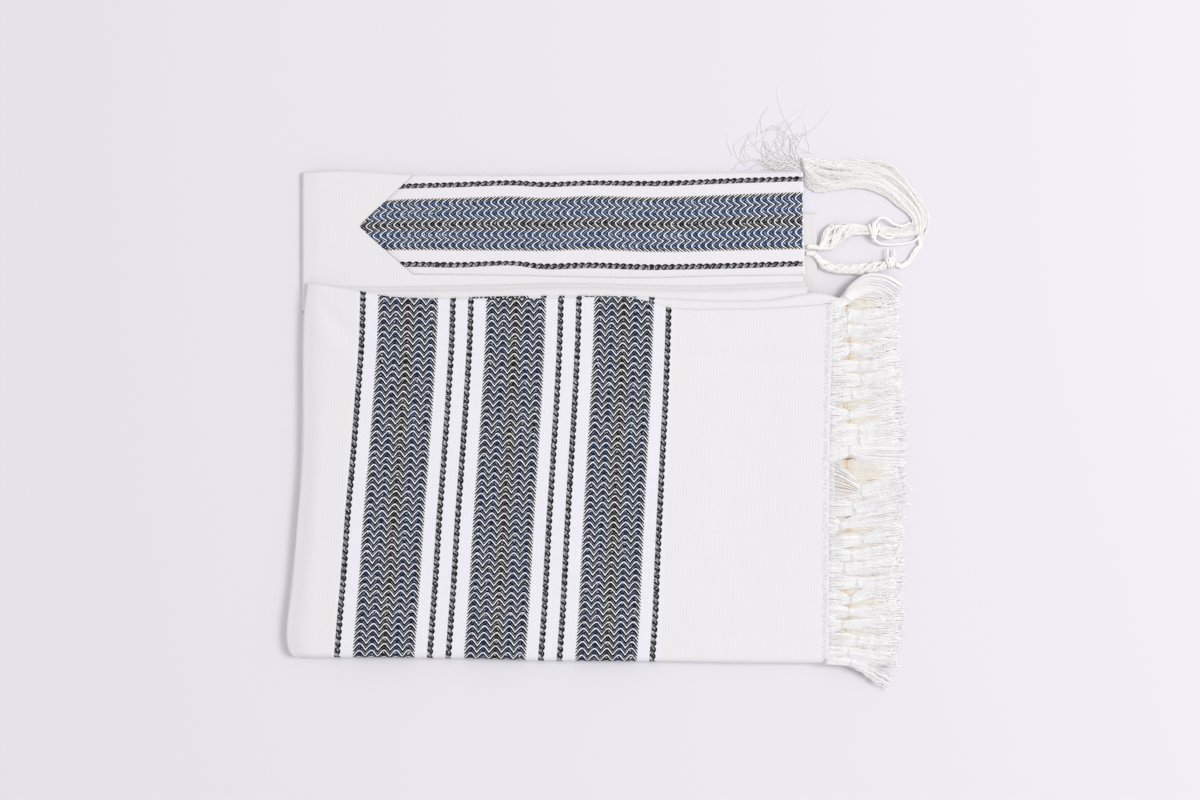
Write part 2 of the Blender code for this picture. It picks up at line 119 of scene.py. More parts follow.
INNER_CLEAR = 2.0  # from the inner layers to the left folds
NEST_CLEAR = 0.6  # between two left folds, one inside the other
BAND_EDGE_CLEAR = 0.6  # from the neckband to the cloth's edge
TURN_CLEAR = 1.2  # from the lower layers to the bottom fold
BAND_TIP = (55.2, 414.7)
BAND_SHOULDER_U = 107.5
BAND_BLUNT = 0.02  # how round the neckband's point is, as a share of its length
BAND_PRESS = 0.27  # how far the neckband's sewn rim is pressed down
BAND_RIM = 2.6  # width of that rim
BAND_THINNING = 0.72  # share of its wall that the rim loses

# ---- soft rises and troughs of the whole heap: u, v, reach in u, reach in v, share of the height ----
SWELLS = (
    (30, 60, 70, 80, 0.05),
    (160, 190, 90, 120, -0.025),
    (330, 60, 110, 50, 0.03),
    (435, 288, 70, 12, -0.04),
    (440, 320, 80, 15, 0.03),
    (240, 418, 14, 60, 0.05),
    (400, 420, 60, 30, -0.02),
    (90, 420, 50, 40, 0.03),
)
# ---- creases of the cloth: u, v, half length, half width, degrees from +u, height at the top layer ----
CREASES = (
    (425, 287, 85, 5.5, -4, -0.80),
    (430, 299, 80, 6.5, -3, 0.35),
    (425, 175, 125, 32, 88, -1.1),
    (427, 190, 70, 12, 86, 0.35),
    (395, 215, 60, 22, 84, 0.25),
    (34, 325, 34, 7, -47, -0.90),
    (22, 312, 30, 8, -47, 0.45),
    (12, 120, 90, 6, 87, 0.35),
    (40, 440, 60, 5, 0, -0.45),
    (52, 400, 40, 9, 72, -0.30),
    (233, 418, 52, 4.0, 86, -0.45),
    (246, 418, 52, 6.0, 88, 0.35),
    (150, 90, 90, 26, 78, -0.40),
    (300, 250, 90, 28, 82, -0.35),
    (240, 30, 160, 7, 0, -0.35),
    (420, 26, 80, 8, -2, -0.45),
    (370, 120, 90, 14, 62, 0.30),
)
CREASE_END = 2.6  # a crease stops at this many half widths
UNEVENNESS = 0.10  # height of the slight unevenness between the creases

# ---- the stripes: places along the cloth's own width, millimetres ----
WIDE = 58.0  # a wide stripe
PEAKS = 5  # zigzags across it
GUARD_OFFSET = 43.7  # from its middle to each guard line
STRIPE_REPEAT = 104.9
FIRST_WIDE = 43.7
STRIPE_SPAN = 2 * STRIPE_REPEAT + 2 * GUARD_OFFSET
ROW = 6.34  # from one zigzag line to the next along the stripe
SECOND_SHIFT = 16.3  # how far the second layer's stripes lie to the side of the front panel's
PLAIN = -1000.0  # a place across the cloth that is well clear of the stripes
# v, u of the first and the last stripe's centre lines on the turned-up half
FIRST_LINE = (
    (3, 33.9), (48, 37.5), (77, 40.1), (134.4, 44.1), (192, 49.2), (250, 53.8), (307, 57.8), (345.6, 59.0),
)
LAST_LINE = (
    (3, 335.2), (48, 338.2), (77, 339.3), (134.4, 341.9), (192, 344.7), (250, 347.7), (307, 349.9),
    (345.6, 351.0),
)
# neckband: u, then v of the lower guard, the wide stripe's lower and upper edges, the upper guard
BAND_LINES = (
    (55, 378.3, 391.9, 439.0, 452.2),
    (102, 379.6, 393.1, 441.7, 454.4),
    (150, 379.0, 392.8, 442.8, 455.7),
    (203, 380.5, 392.4, 444.3, 457.4),
    (230, 377.6, 392.1, 442.8, 455.8),
    (275, 378.6, 393.4, 444.7, 457.3),
    (333, 376.8, 391.4, 443.5, 456.8),
    (362, 377.2, 391.4, 444.1, 457.4),
    (400, 377.9, 392.4, 445.7, 459.0),
    (477, 380.2, 394.0, 448.4, 461.3),
)
BAND_ROW = 6.62  # from one zigzag line to the next on the neckband

# The fringe solid's lowest corner is known in both coordinates.
FRINGE_TIP_U = 582.0
FRINGE_LOW_V = -27.0
FRINGE_LOW, FRINGE_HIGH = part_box("fringe")
ORIGIN_U = FRINGE_TIP_U - FRINGE_HIGH.x / MM
ORIGIN_V = FRINGE_LOW_V - FRINGE_LOW.y / MM


# ---------------------------------------------------------------- plain geometry
def place(u, v, z):
    return Vector(((u - ORIGIN_U) * MM, (v - ORIGIN_V) * MM, z * MM))


def mix(a, b, share):
    return a + (b - a) * share


def steps(count):
    return [i / count for i in range(count + 1)]


def curve_at(rows, where):
    """Value at a place on the smooth curve through (place, value) rows, which run upwards."""
    if where <= rows[0][0]:
        return rows[0][1]
    if where >= rows[-1][0]:
        return rows[-1][1]
    k = max(i for i, row in enumerate(rows[:-1]) if row[0] <= where)
    span = rows[k + 1][0] - rows[k][0]
    rise = [(b[1] - a[1]) / (b[0] - a[0]) for a, b in zip(rows, rows[1:])]
    slope_in = (rise[k - 1] + rise[k]) / 2 if k else rise[0]
    slope_out = (rise[k] + rise[k + 1]) / 2 if k + 1 < len(rise) else rise[-1]
    t = (where - rows[k][0]) / span
    return (
        (2 * t**3 - 3 * t**2 + 1) * rows[k][1]
        + (t**3 - 2 * t**2 + t) * span * slope_in
        + (3 * t**2 - 2 * t**3) * rows[k + 1][1]
        + (t**3 - t**2) * span * slope_out
    )


def bump_at(u, v):
    """Height of the creases at a place on the top layer, millimetres."""
    height = 0.0
    for u0, v0, half_length, half_width, turn, rise in CREASES:
        angle = math.radians(turn)
        du, dv = u - u0, v - v0
        along = (du * math.cos(angle) + dv * math.sin(angle)) / half_length
        across = (dv * math.cos(angle) - du * math.sin(angle)) / half_width
        if abs(along) < CREASE_END and abs(across) < CREASE_END:
            height += rise * math.exp(-along * along - across * across)
    return height + UNEVENNESS * noise.noise(Vector((u / 26, v / 31, 0.3)))


def settled(u, v, z):
    """A design point with the heap's soft rises, troughs and creases, which leave the underside flat."""
    rise = LOOSENESS
    for u0, v0, reach_u, reach_v, share in SWELLS:
        rise += share * math.exp(-(((u - u0) / reach_u) ** 2) - ((v - v0) / reach_v) ** 2)
    left = curve_at(FRONT_LEFT_EDGE, v) if v < JOIN_V else UPPER_LEFT_EDGE_U
    droop = LEFT_DROOP * math.exp(-(((u - left) / LEFT_REACH) ** 2))
    raised = max(z - UNDER_MID, 0)
    return u, v, z * (1 + max(rise, 0)) - droop * raised + bump_at(u, v) * raised / FRONT_TOP


def round_turn(centre_u, centre_z, radius, side):
    """Points round a half circle, from its top down: side is -1 for a left fold and 1 for a right one."""
    angles = [math.pi * share for share in steps(TURN_STEPS)]
    return [(centre_u + side * radius * math.sin(a), centre_z + radius * math.cos(a)) for a in angles]


def add_piece(name, mesh, material, nodes):
    """Makes an object of a mesh, which rides on the one body and stands for some CAD nodes."""
    mesh.materials.append(material)
    piece = bpy.data.objects.new(name, mesh)
    bpy.context.scene.collection.objects.link(piece)
    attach(piece, "root")
    if nodes:
        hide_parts(*nodes)
    return piece


def grid_mesh(name, rows, weave):
    """A mesh through rows of design points, with the cloth's own coordinates as its UV map."""
    count = len(rows[0])
    faces = [
        (r * count + c, r * count + c + 1, (r + 1) * count + c + 1, (r + 1) * count + c)
        for r in range(len(rows) - 1)
        for c in range(count - 1)
    ]
    mesh = bpy.data.meshes.new(name)
    mesh.from_pydata([place(*settled(*point)) for row in rows for point in row], [], faces)
    flat = [(across * MM, along * MM) for row in weave for across, along in row]
    layer = mesh.uv_layers.new(name=WEAVE_MAP)
    for loop in mesh.loops:
        layer.data[loop.index].uv = flat[loop.vertex_index]
    mesh.shade_smooth()
    return mesh


def cloth_piece(name, rows, weave, wall, material, nodes, fullness=()):
    """A sheet of cloth with its wall.

    fullness gives each point's share of the wall, for a hem that is pressed thin.
    """
    piece = add_piece(name, grid_mesh(name, rows, weave), material, nodes)
    solid = piece.modifiers.new("Wall", "SOLIDIFY")
    solid.thickness = wall * MM
    solid.offset = 0
    solid.use_even_offset = False
    solid.use_quality_normals = True
    if fullness:
        group = piece.vertex_groups.new(name="Wall")
        for index, share in enumerate(fullness):
            group.add([index], share, "REPLACE")
        solid.vertex_group = group.name
    return piece


# ---------------------------------------------------------------- shader trees
class Value:
    """A changing number in a shader tree, which plain arithmetic works on."""

    def __init__(self, tree, socket):
        self.tree = tree
        self.socket = socket

    def math(self, operation, *others, clamp=False):
        node = self.tree.nodes.new("ShaderNodeMath")
        node.operation = operation
        node.use_clamp = clamp
        for entry, item in zip(node.inputs, (self, *others)):
            feed(self.tree, entry, item)
        return Value(self.tree, node.outputs[0])

    def __add__(self, other):
        return self.math("ADD", other)

    def __sub__(self, other):
        return self.math("SUBTRACT", other)

    def __mul__(self, other):
        return self.math("MULTIPLY", other)

    def __truediv__(self, other):
        return self.math("DIVIDE", other)

    def fraction(self):
        return self.math("FRACT")

    def size(self):
        return self.math("ABSOLUTE")

    def least(self, other):
        return self.math("MINIMUM", other)

    def most(self, other):
        return self.math("MAXIMUM", other)

    def above(self, edge, soft):
        """0 below an edge and 1 above it, over a soft width."""
        return ((self - edge) / soft).math("ADD", 0.5, clamp=True)

    def inside(self, low, high, soft):
        """1 between two edges and 0 outside them."""
        return self.above(low, soft) * (self.above(high, soft) * -1 + 1)

    def folded(self, period):
        """Distance from the nearest multiple of a period."""
        return ((self / period + 0.5).fraction() - 0.5).size() * period


def feed(tree, entry, item):
    """Puts a Value, a socket, a plain number or a colour into a node's input."""
    if isinstance(item, Value):
        item = item.socket
    if isinstance(item, tuple) and len(item) == 3:
        item = (*item, 1)
    if isinstance(item, bpy.types.NodeSocket):
        tree.links.new(item, entry)
    else:
        entry.default_value = item


def blend_colours(tree, share, low, high, kind="MIX"):
    """The low colour where the share is 0 and the high one where it is 1."""
    node = tree.nodes.new("ShaderNodeMix")
    node.data_type = "RGBA"
    node.blend_type = kind
    for name, item in (("Factor", share), ("A", low), ("B", high)):
        feed(tree, next(s for s in node.inputs if s.name == name and s.enabled), item)
    return next(s for s in node.outputs if s.enabled)


def tinted(tree, colour, factor):
    """A colour times a changing number."""
    return blend_colours(tree, 1.0, colour, joined(tree, factor, factor, factor), "MULTIPLY")


def noise_value(tree, vector, scale, detail=2.0, roughness=0.5):
    """Soft cloudy noise, about 0.5."""
    node = tree.nodes.new("ShaderNodeTexNoise")
    node.inputs["Scale"].default_value = scale
    node.inputs["Detail"].default_value = detail
    node.inputs["Roughness"].default_value = roughness
    feed(tree, node.inputs["Vector"], vector)
    return Value(tree, node.outputs[0])


def cell_value(tree, vector, scale):
    """A number from 0 to 1 for each small cell, like single floats of thread."""
    node = tree.nodes.new("ShaderNodeTexVoronoi")
    node.voronoi_dimensions = "2D"
    node.inputs["Scale"].default_value = scale
    feed(tree, node.inputs["Vector"], vector)
    parts = tree.nodes.new("ShaderNodeSeparateColor")
    tree.links.new(node.outputs["Color"], parts.inputs[0])
    return Value(tree, parts.outputs[0])


def joined(tree, x, y, z=0.0):
    """A vector of three values."""
    node = tree.nodes.new("ShaderNodeCombineXYZ")
    for entry, item in zip(node.inputs, (x, y, z)):
        feed(tree, entry, item)
    return node.outputs[0]


def new_group(name, inputs, outputs):
    """An empty node group with named sockets. Each row is (name, kind, default or None)."""
    group = bpy.data.node_groups.new(name, "ShaderNodeTree")
    for direction, rows in (("INPUT", inputs), ("OUTPUT", outputs)):
        for socket_name, kind, default in rows:
            socket = group.interface.new_socket(name=socket_name, in_out=direction, socket_type=kind)
            if default is not None:
                socket.default_value = default
    return group, group.nodes.new("NodeGroupInput"), group.nodes.new("NodeGroupOutput")


def place_group(tree, group, **values):
    """Places a group and sets its inputs, with _ for a space in their names."""
    node = tree.nodes.new("ShaderNodeGroup")
    node.node_tree = group
    for name, item in values.items():
        feed(tree, node.inputs[name.replace("_", " ")], item)
    return node


FLOAT = "NodeSocketFloat"
COLOUR = "NodeSocketColor"
# the zigzags, in shares of a row
LINE_SOFT = 0.03  # how soft the lines' edges are
BESIDE = 0.28  # width of the dark line below each pale one
VALLEY = 0.25  # width of the dark in a valley
BEFORE = 0.62  # where the dark line above the next pale one starts
SECOND_LINE = (0.49, 0.58)  # where the fainter line starts and ends
SECOND_SHARE = 0.36  # how much the fainter line shows
# the zigzags, in millimetres
SECOND_FROM = 1.6  # from a peak to the start of the fainter line
VALLEY_FROM = 4.9  # from a peak to the start of its valley
TOOTH_REACH = 1.5
# a guard line, in millimetres from its middle
GUARD_REACH = 4.0
GUARD_BACK = 2.9
ARCH_BASE = 1.35
ARCH_RISE = 1.5
STROKE_START = 0.26  # share of a row
GUARD_CLEAR = 34  # no guard line is nearer than this to the wide stripe's middle
COOL_MARGIN = 6.0  # how far the cooler white reaches beyond the stripes
STRIPE_MARGIN = 4.5  # how far the outer guard lines reach beyond their middles
STRIPE_STAGGER = 2.3  # how far along each stripe's rows lie from the last one's
WEAVE_BUMP = (0.35, 0.0003)  # strength, and distance in metres
YARN_BUMP = (0.3, 0.0002)
# how much the plain weave's unevenness shows
STREAKS = 0.028
MOTTLE = 0.022
FUZZ = 0.05


def stripe_group(s):
    """One woven stripe with a guard line on each side: round-topped chevrons and small black arches."""
    group, given, result = new_group(
        "Woven stripe",
        (
            ("Across", FLOAT, 0.0),
            ("Along", FLOAT, 0.0),
            ("Ground", COLOUR, None),
            ("Blue", COLOUR, (*s.blue, 1)),
            ("Pale blue", COLOUR, (*s.pale_blue, 1)),
            ("Dark", COLOUR, (*s.dark, 1)),
            ("Dark share", FLOAT, 1.0),
        ),
        (("Color", COLOUR, None), ("Height", FLOAT, None)),
    )
    across = Value(group, given.outputs["Across"])
    along = Value(group, given.outputs["Along"])
    dark_share = Value(group, given.outputs["Dark share"])
    where = joined(group, across, along)
    drift = noise_value(group, where, 0.10, 1.0) - 0.5
    jitter = noise_value(group, where, 0.9, 2.0) - 0.5
    thread = noise_value(group, where, 1.1, 1.0) - 0.5
    grain = cell_value(group, where, s.grain_scale)
    across = across + drift * 0.9 + jitter * 0.30
    along = along + drift * -1.2 + jitter * 0.45

    # A pale line, a dark line on each side of it, and a fainter line half-way to the next one.
    peak_period = WIDE / PEAKS
    from_peak = across.folded(peak_period)
    lean = (from_peak * from_peak + s.peak_round**2).math("SQRT")
    row = (along + lean * s.chevron_slope) / ROW
    phase = row.fraction()
    flank = from_peak / lean
    line = flank * s.line_share * 0.55 + s.line_share * 0.75
    light = phase.above(0.0, LINE_SOFT) * (line - phase).above(0.0, LINE_SOFT)
    beside = (phase - line).inside(0.0, BESIDE, LINE_SOFT)
    beside = beside.most(phase.inside(BEFORE, 1.0, LINE_SOFT) * flank.above(0.62, 0.25))
    second = phase.inside(*SECOND_LINE, 0.02) * from_peak.above(SECOND_FROM, 1.0)
    valley = from_peak.above(VALLEY_FROM, 0.5) * (phase - line).inside(0.0, VALLEY, 0.06)
    tone = (noise_value(group, where, 0.35, 3.0) - 0.35) * 2.2
    blue_fill = blend_colours(group, tone, given.outputs["Blue"], given.outputs["Pale blue"])
    grey_fill = blend_colours(group, tone * 0.6, s.grey, s.pale_grey)
    from_edge = across.size() * -1 + WIDE / 2
    is_centre = across.size().inside(-peak_period / 2 + 0.4, peak_period / 2 - 0.4, 0.8)
    neutral = is_centre.most((from_edge * -1 + s.edge_width).above(0.0, 0.7))
    fill_colour = blend_colours(group, neutral, blue_fill, grey_fill)
    dark_colour = blend_colours(group, neutral, given.outputs["Dark"], s.black)
    pale_colour = blend_colours(group, neutral, s.pale, s.pale_neutral)
    flecks = (grain - s.light_from).above(0.0, 0.06) * 0.55
    chevrons = blend_colours(group, flecks, fill_colour, pale_colour)
    shaded = (flank * s.dark_below - grain + 0.10).above(0.0, 0.06) * 0.9 * dark_share
    chevrons = blend_colours(group, shaded, chevrons, dark_colour)
    covered = (grain * 0.5 + 0.70).least(1.0)
    chevrons = blend_colours(group, beside * covered * dark_share, chevrons, dark_colour)
    chevrons = blend_colours(group, second * SECOND_SHARE, chevrons, pale_colour)
    chevrons = blend_colours(group, valley * dark_share, chevrons, dark_colour)
    broken = light * (grain.above(0.16, 0.10) * 0.45 + 0.55)
    wide_colour = blend_colours(group, broken, chevrons, pale_colour)
    tooth = (row * 2 - 0.10).fraction().inside(0.42, 0.97, 0.12)
    is_wide = (from_edge + tooth * TOOTH_REACH - s.tooth_length).above(0.0, 0.5)

    # A guard line: blunt black arches on its outer side, with slanting strokes and specks below them.
    side = Value(group, given.outputs["Across"])
    guard = (side.size() - GUARD_OFFSET) * side.math("SIGN") + jitter * 0.5
    turn = along / ROW + jitter * 0.12
    arch = (turn.fraction() * math.pi).math("SINE")
    outer = arch * ARCH_RISE + ARCH_BASE
    body = (outer - guard).above(0.0, 0.4) * (guard + GUARD_BACK).above(0.0, 0.7)
    rim = (outer - guard).inside(0.0, s.arch_width, 0.5) * (arch.above(0.45, 0.4) * 0.5 + 0.5)
    slanting = (turn + guard * 0.11 + 0.02).fraction()
    stroke = slanting.inside(STROKE_START, STROKE_START + s.stroke_share, 0.12)
    specks = (grain * -1 + 1).above(0.66, 0.06)
    ground = given.outputs["Ground"]
    guard_colour = blend_colours(group, body * 0.74, ground, s.pale_grey)
    guard_colour = blend_colours(group, body * grain.above(0.82, 0.06) * 0.4, guard_colour, ground)
    guard_colour = blend_colours(group, body * specks * 0.9, guard_colour, s.black)
    inked = (stroke * 0.95).most(rim) * body * (grain.above(0.20, 0.10) * 0.35 + 0.65)
    guard_colour = blend_colours(group, inked, guard_colour, s.black)
    is_guard = guard.size().inside(-GUARD_REACH, GUARD_REACH, 0.3)
    is_guard = is_guard * (side.size() - GUARD_CLEAR).above(0.0, 0.5)

    colour = blend_colours(group, is_guard, ground, guard_colour)
    colour = blend_colours(group, is_wide, colour, wide_colour)
    coloured = is_wide.most(is_guard * body)
    shift = thread * s.thread_contrast * coloured + (grain - 0.5) * s.grain_contrast + 1
    group.links.new(tinted(group, colour, shift), result.inputs["Color"])
    raised = (light * 0.8 + second * 0.3) * is_wide + body * stroke * is_guard * 0.5
    feed(group, result.inputs["Height"], raised)
    return group


def weave_group(s):
    """The fine weave of the plain cloth: a faint rib along the stripes and soft unevenness."""
    group, given, result = new_group(
        "Plain weave",
        (("Across", FLOAT, 0.0), ("Along", FLOAT, 0.0), ("Ground", COLOUR, None)),
        (("Color", COLOUR, None), ("Height", FLOAT, None)),
    )
    across = Value(group, given.outputs["Across"])
    along = Value(group, given.outputs["Along"])
    where = joined(group, across, along)
    streaks = noise_value(group, joined(group, across, along * 0.06), 0.55, 2.0)
    mottle = noise_value(group, where, 0.25, 4.0, 0.6)
    fuzz = noise_value(group, where, 2.2, 3.0, 0.65)
    wander = noise_value(group, where, 0.05, 1.0)
    rib = ((across + wander * 1.5) * (2 * math.pi / s.rib_spacing)).math("SINE")
    pick = (along * (2 * math.pi / s.pick_spacing)).math("SINE")
    shift = rib * s.rib_contrast + (streaks - 0.5) * STREAKS + (mottle - 0.5) * MOTTLE + (fuzz - 0.5) * FUZZ
    group.links.new(tinted(group, given.outputs["Ground"], shift + 1.0), result.inputs["Color"])
    feed(group, result.inputs["Height"], rib * 0.35 + pick * 0.10 + fuzz * 0.8 + mottle * 0.5)
    return group


def new_material(name, roughness, sheen=0.0):
    """A matte material, its node tree and its shader."""
    material = bpy.data.materials.new(name)
    material.use_nodes = True
    shader = material.node_tree.nodes["Principled BSDF"]
    shader.inputs["Roughness"].default_value = roughness
    shader.inputs["Specular IOR Level"].default_value = 0.04
    shader.inputs["Sheen Weight"].default_value = sheen
    shader.inputs["Sheen Roughness"].default_value = 0.6
    return material, material.node_tree, shader


def weave_place(tree, factor=1000.0):
    """The cloth's own coordinates, in millimetres."""
    spot = tree.nodes.new("ShaderNodeUVMap")
    spot.uv_map = WEAVE_MAP
    parts = tree.nodes.new("ShaderNodeSeparateXYZ")
    tree.links.new(spot.outputs[0], parts.inputs[0])
    return Value(tree, parts.outputs[0]) * factor, Value(tree, parts.outputs[1]) * factor


def add_bump(tree, shader, height, strength, distance):
    """Lets a height raise the surface slightly."""
    bump = tree.nodes.new("ShaderNodeBump")
    bump.inputs["Strength"].default_value = strength
    bump.inputs["Distance"].default_value = distance
    feed(tree, bump.inputs["Height"], height)
    tree.links.new(bump.outputs[0], shader.inputs["Normal"])


def cloth_material(s, name, white):
    """The body cloth: plain ribbed weave, and a repeat of the woven stripes near its fringed end."""
    material, tree, shader = new_material(name, 0.92, 0.04)
    across, along = weave_place(tree)
    cool = across.inside(-COOL_MARGIN, STRIPE_SPAN + COOL_MARGIN, 4.0)
    # white is the cloth's own white, or for the tucked corner a darker one that is painted shade
    ground = blend_colours(tree, cool, white, s.cool_white)
    plain = place_group(tree, GROUPS["weave"], Across=across, Along=along, Ground=ground)
    plain_colour = plain.outputs["Color"]
    local = ((across - FIRST_WIDE) / STRIPE_REPEAT + 0.5).fraction() * STRIPE_REPEAT - STRIPE_REPEAT / 2
    repeat_number = ((across - FIRST_WIDE) / STRIPE_REPEAT + 0.5).math("FLOOR")
    own_along = along + repeat_number * STRIPE_STAGGER
    stripe = place_group(tree, GROUPS["stripe"], Across=local, Along=own_along, Ground=plain_colour)
    in_stripes = across.inside(-STRIPE_MARGIN, STRIPE_SPAN + STRIPE_MARGIN, 0.3)
    colour = blend_colours(tree, in_stripes, plain_colour, stripe.outputs["Color"])
    tree.links.new(colour, shader.inputs["Base Color"])
    height = Value(tree, plain.outputs["Height"]) + Value(tree, stripe.outputs["Height"]) * in_stripes
    add_bump(tree, shader, height, *WEAVE_BUMP)
    return material


def band_material(s):
    """The neckband: one wide stripe and its two guard lines on pale cloth."""
    material, tree, shader = new_material("Neckband cloth", 0.9, 0.04)
    across, along = weave_place(tree)
    plain = place_group(tree, GROUPS["weave"], Across=across, Along=along, Ground=s.band_white)
    stripe = place_group(
        tree, GROUPS["stripe"], Across=across, Along=along, Ground=plain.outputs["Color"],
        Blue=s.band_blue, Pale_blue=s.band_pale_blue, Dark=s.band_dark, Dark_share=0.85,
    )
    before_fold = (along + s.fold_place * ROW / BAND_ROW).above(0.0, 1.6)
    colour = blend_colours(tree, before_fold, plain.outputs["Color"], stripe.outputs["Color"])
    tree.links.new(colour, shader.inputs["Base Color"])
    height = Value(tree, plain.outputs["Height"]) + Value(tree, stripe.outputs["Height"])
    add_bump(tree, shader, height, *WEAVE_BUMP)
    return material


def yarn_material(name, root, middle, tip, knot=None, roughness=0.9):
    """Soft yarn: its UV map holds a number for each thread and the share along it."""
    material, tree, shader = new_material(name, roughness, 0.08)
    number, share = weave_place(tree, 1.0)
    # the steps from root to middle to tip are painted light and shade, not a change in the yarn's colour
    colour = blend_colours(tree, share.above(0.33, 0.2), root, middle)
    colour = blend_colours(tree, share.above(0.80, 0.3), colour, tip)
    # for the lower fringes, a band at the knots painted brown as the shade among the hidden knots
    if knot:
        colour = blend_colours(tree, share.inside(0.24, 0.32, 0.08), colour, knot)
    coordinates = tree.nodes.new("ShaderNodeTexCoord")
    mottle = noise_value(tree, coordinates.outputs["Object"], 900.0, 2.0)
    shift = (number - 0.5) * 0.05 + (mottle - 0.5) * 0.06 + 1.0
    tree.links.new(tinted(tree, colour, shift), shader.inputs["Base Color"])
    add_bump(tree, shader, mottle, *YARN_BUMP)
    return material


def floor_material(s):
    """Pale, faintly cloudy floor."""
    material, tree, shader = new_material("Floor", 0.7)
    coordinates = tree.nodes.new("ShaderNodeTexCoord")
    cloudy = noise_value(tree, coordinates.outputs["Object"], 1.2, 2.0)
    colour = blend_colours(tree, cloudy * 0.5 + 0.25, s.floor, tuple(c * 0.985 for c in s.floor))
    tree.links.new(colour, shader.inputs["Base Color"])
    return material


# ---------------------------------------------------------------- settings
class ShawlClothSettings(bpy.types.PropertyGroup):
    """Sizes and colours of the woven cloth."""

    spacing: bpy.props.FloatProperty(
        name="Grid spacing", description="Size of the cloth's grid, millimetres", default=3.0, min=1.5
    )
    chevron_slope: bpy.props.FloatProperty(
        name="Chevron slope", description="Rise of the zigzag lines over their run", default=1.42
    )
    peak_round: bpy.props.FloatProperty(
        name="Peak rounding", description="How round the zigzags' peaks are, millimetres", default=1.7
    )
    line_share: bpy.props.FloatProperty(
        name="Line share", description="Share of a row that its pale line takes", default=0.182
    )
    edge_width: bpy.props.FloatProperty(
        name="Edge band", description="Width of a stripe's black edge, millimetres", default=4.4
    )
    tooth_length: bpy.props.FloatProperty(
        name="Teeth", description="How far a stripe's edge is cut in, millimetres", default=1.3
    )
    arch_width: bpy.props.FloatProperty(
        name="Arch width", description="Width of a guard line's black arches, millimetres", default=1.7
    )
    stroke_share: bpy.props.FloatProperty(
        name="Stroke share", description="Share of a guard line's length under its strokes", default=0.36
    )
    grain_scale: bpy.props.FloatProperty(
        name="Grain scale", description="How fine the specks of the coloured yarns are", default=0.95
    )
    thread_contrast: bpy.props.FloatProperty(
        name="Thread contrast", description="How much the threads of the stripes differ", default=0.60
    )
    grain_contrast: bpy.props.FloatProperty(
        name="Grain contrast", description="How much single floats of thread differ", default=0.05
    )
    light_from: bpy.props.FloatProperty(
        name="Light floats", description="Share of the floats below which none is pale", default=0.895
    )
    dark_below: bpy.props.FloatProperty(
        name="Dark floats", description="Share of the floats that are dark beside the zigzags", default=0.62
    )
    rib_spacing: bpy.props.FloatProperty(
        name="Rib spacing", description="From rib to rib, millimetres", default=2.64
    )
    rib_contrast: bpy.props.FloatProperty(
        name="Rib contrast", description="How much the ribs show", default=0.010
    )
    fold_place: bpy.props.FloatProperty(
        name="Fold place", description="Where the neckband's stripes end at its right fold, millimetres",
        default=478.9,
    )
    pick_spacing: bpy.props.FloatProperty(
        name="Pick spacing", description="From pick to pick of the weave, millimetres", default=0.8
    )
    white: bpy.props.FloatVectorProperty(
        name="White", description="Plain cloth", subtype="COLOR", default=(0.814, 0.799, 0.816)
    )
    # Painted shade: the tucked corner is the same white cloth, painted darker for the shade it lies in low
    # under the fold.
    corner_white: bpy.props.FloatVectorProperty(
        name="Shaded corner white", description="Plain cloth of the tucked corner", subtype="COLOR",
        default=(0.775, 0.760, 0.765),
    )
    cool_white: bpy.props.FloatVectorProperty(
        name="Cool white", description="Cloth between the stripes", subtype="COLOR",
        default=(0.820, 0.820, 0.880),
    )
    band_white: bpy.props.FloatVectorProperty(
        name="Band white", description="Plain cloth of the neckband", subtype="COLOR",
        default=(0.806, 0.798, 0.832),
    )
    band_dark: bpy.props.FloatVectorProperty(
        name="Band dark line", description="Dark lines of the neckband", subtype="COLOR",
        default=(0.006, 0.014, 0.042),
    )
    band_blue: bpy.props.FloatVectorProperty(
        name="Band blue", description="Fill of the neckband's chevrons", subtype="COLOR",
        default=(0.037, 0.086, 0.215),
    )
    band_pale_blue: bpy.props.FloatVectorProperty(
        name="Band pale blue", description="Lighter fill of the neckband's chevrons", subtype="COLOR",
        default=(0.115, 0.205, 0.385),
    )
    blue: bpy.props.FloatVectorProperty(
        name="Blue", description="Fill of the chevrons", subtype="COLOR", default=(0.013, 0.027, 0.084)
    )
    pale_blue: bpy.props.FloatVectorProperty(
        name="Pale blue", description="Lighter fill of the chevrons", subtype="COLOR",
        default=(0.088, 0.137, 0.235),
    )
    grey: bpy.props.FloatVectorProperty(
        name="Grey", description="Fill of the middle chevron", subtype="COLOR",
        default=(0.020, 0.022, 0.030),
    )
    pale_grey: bpy.props.FloatVectorProperty(
        name="Pale grey", description="Lighter fill of the middle chevron", subtype="COLOR",
        default=(0.185, 0.187, 0.20),
    )
    pale: bpy.props.FloatVectorProperty(
        name="Pale line", description="Zigzag lines", subtype="COLOR", default=(0.93, 0.96, 1.0)
    )
    pale_neutral: bpy.props.FloatVectorProperty(
        name="Neutral pale line", description="Zigzag lines of the middle and the edges", subtype="COLOR",
        default=(0.95, 0.95, 0.97),
    )
    dark: bpy.props.FloatVectorProperty(
        name="Dark line", description="Lines beside the zigzags", subtype="COLOR",
        default=(0.003, 0.005, 0.020),
    )
    black: bpy.props.FloatVectorProperty(
        name="Black", description="Black yarn", subtype="COLOR", default=(0.003, 0.003, 0.004)
    )


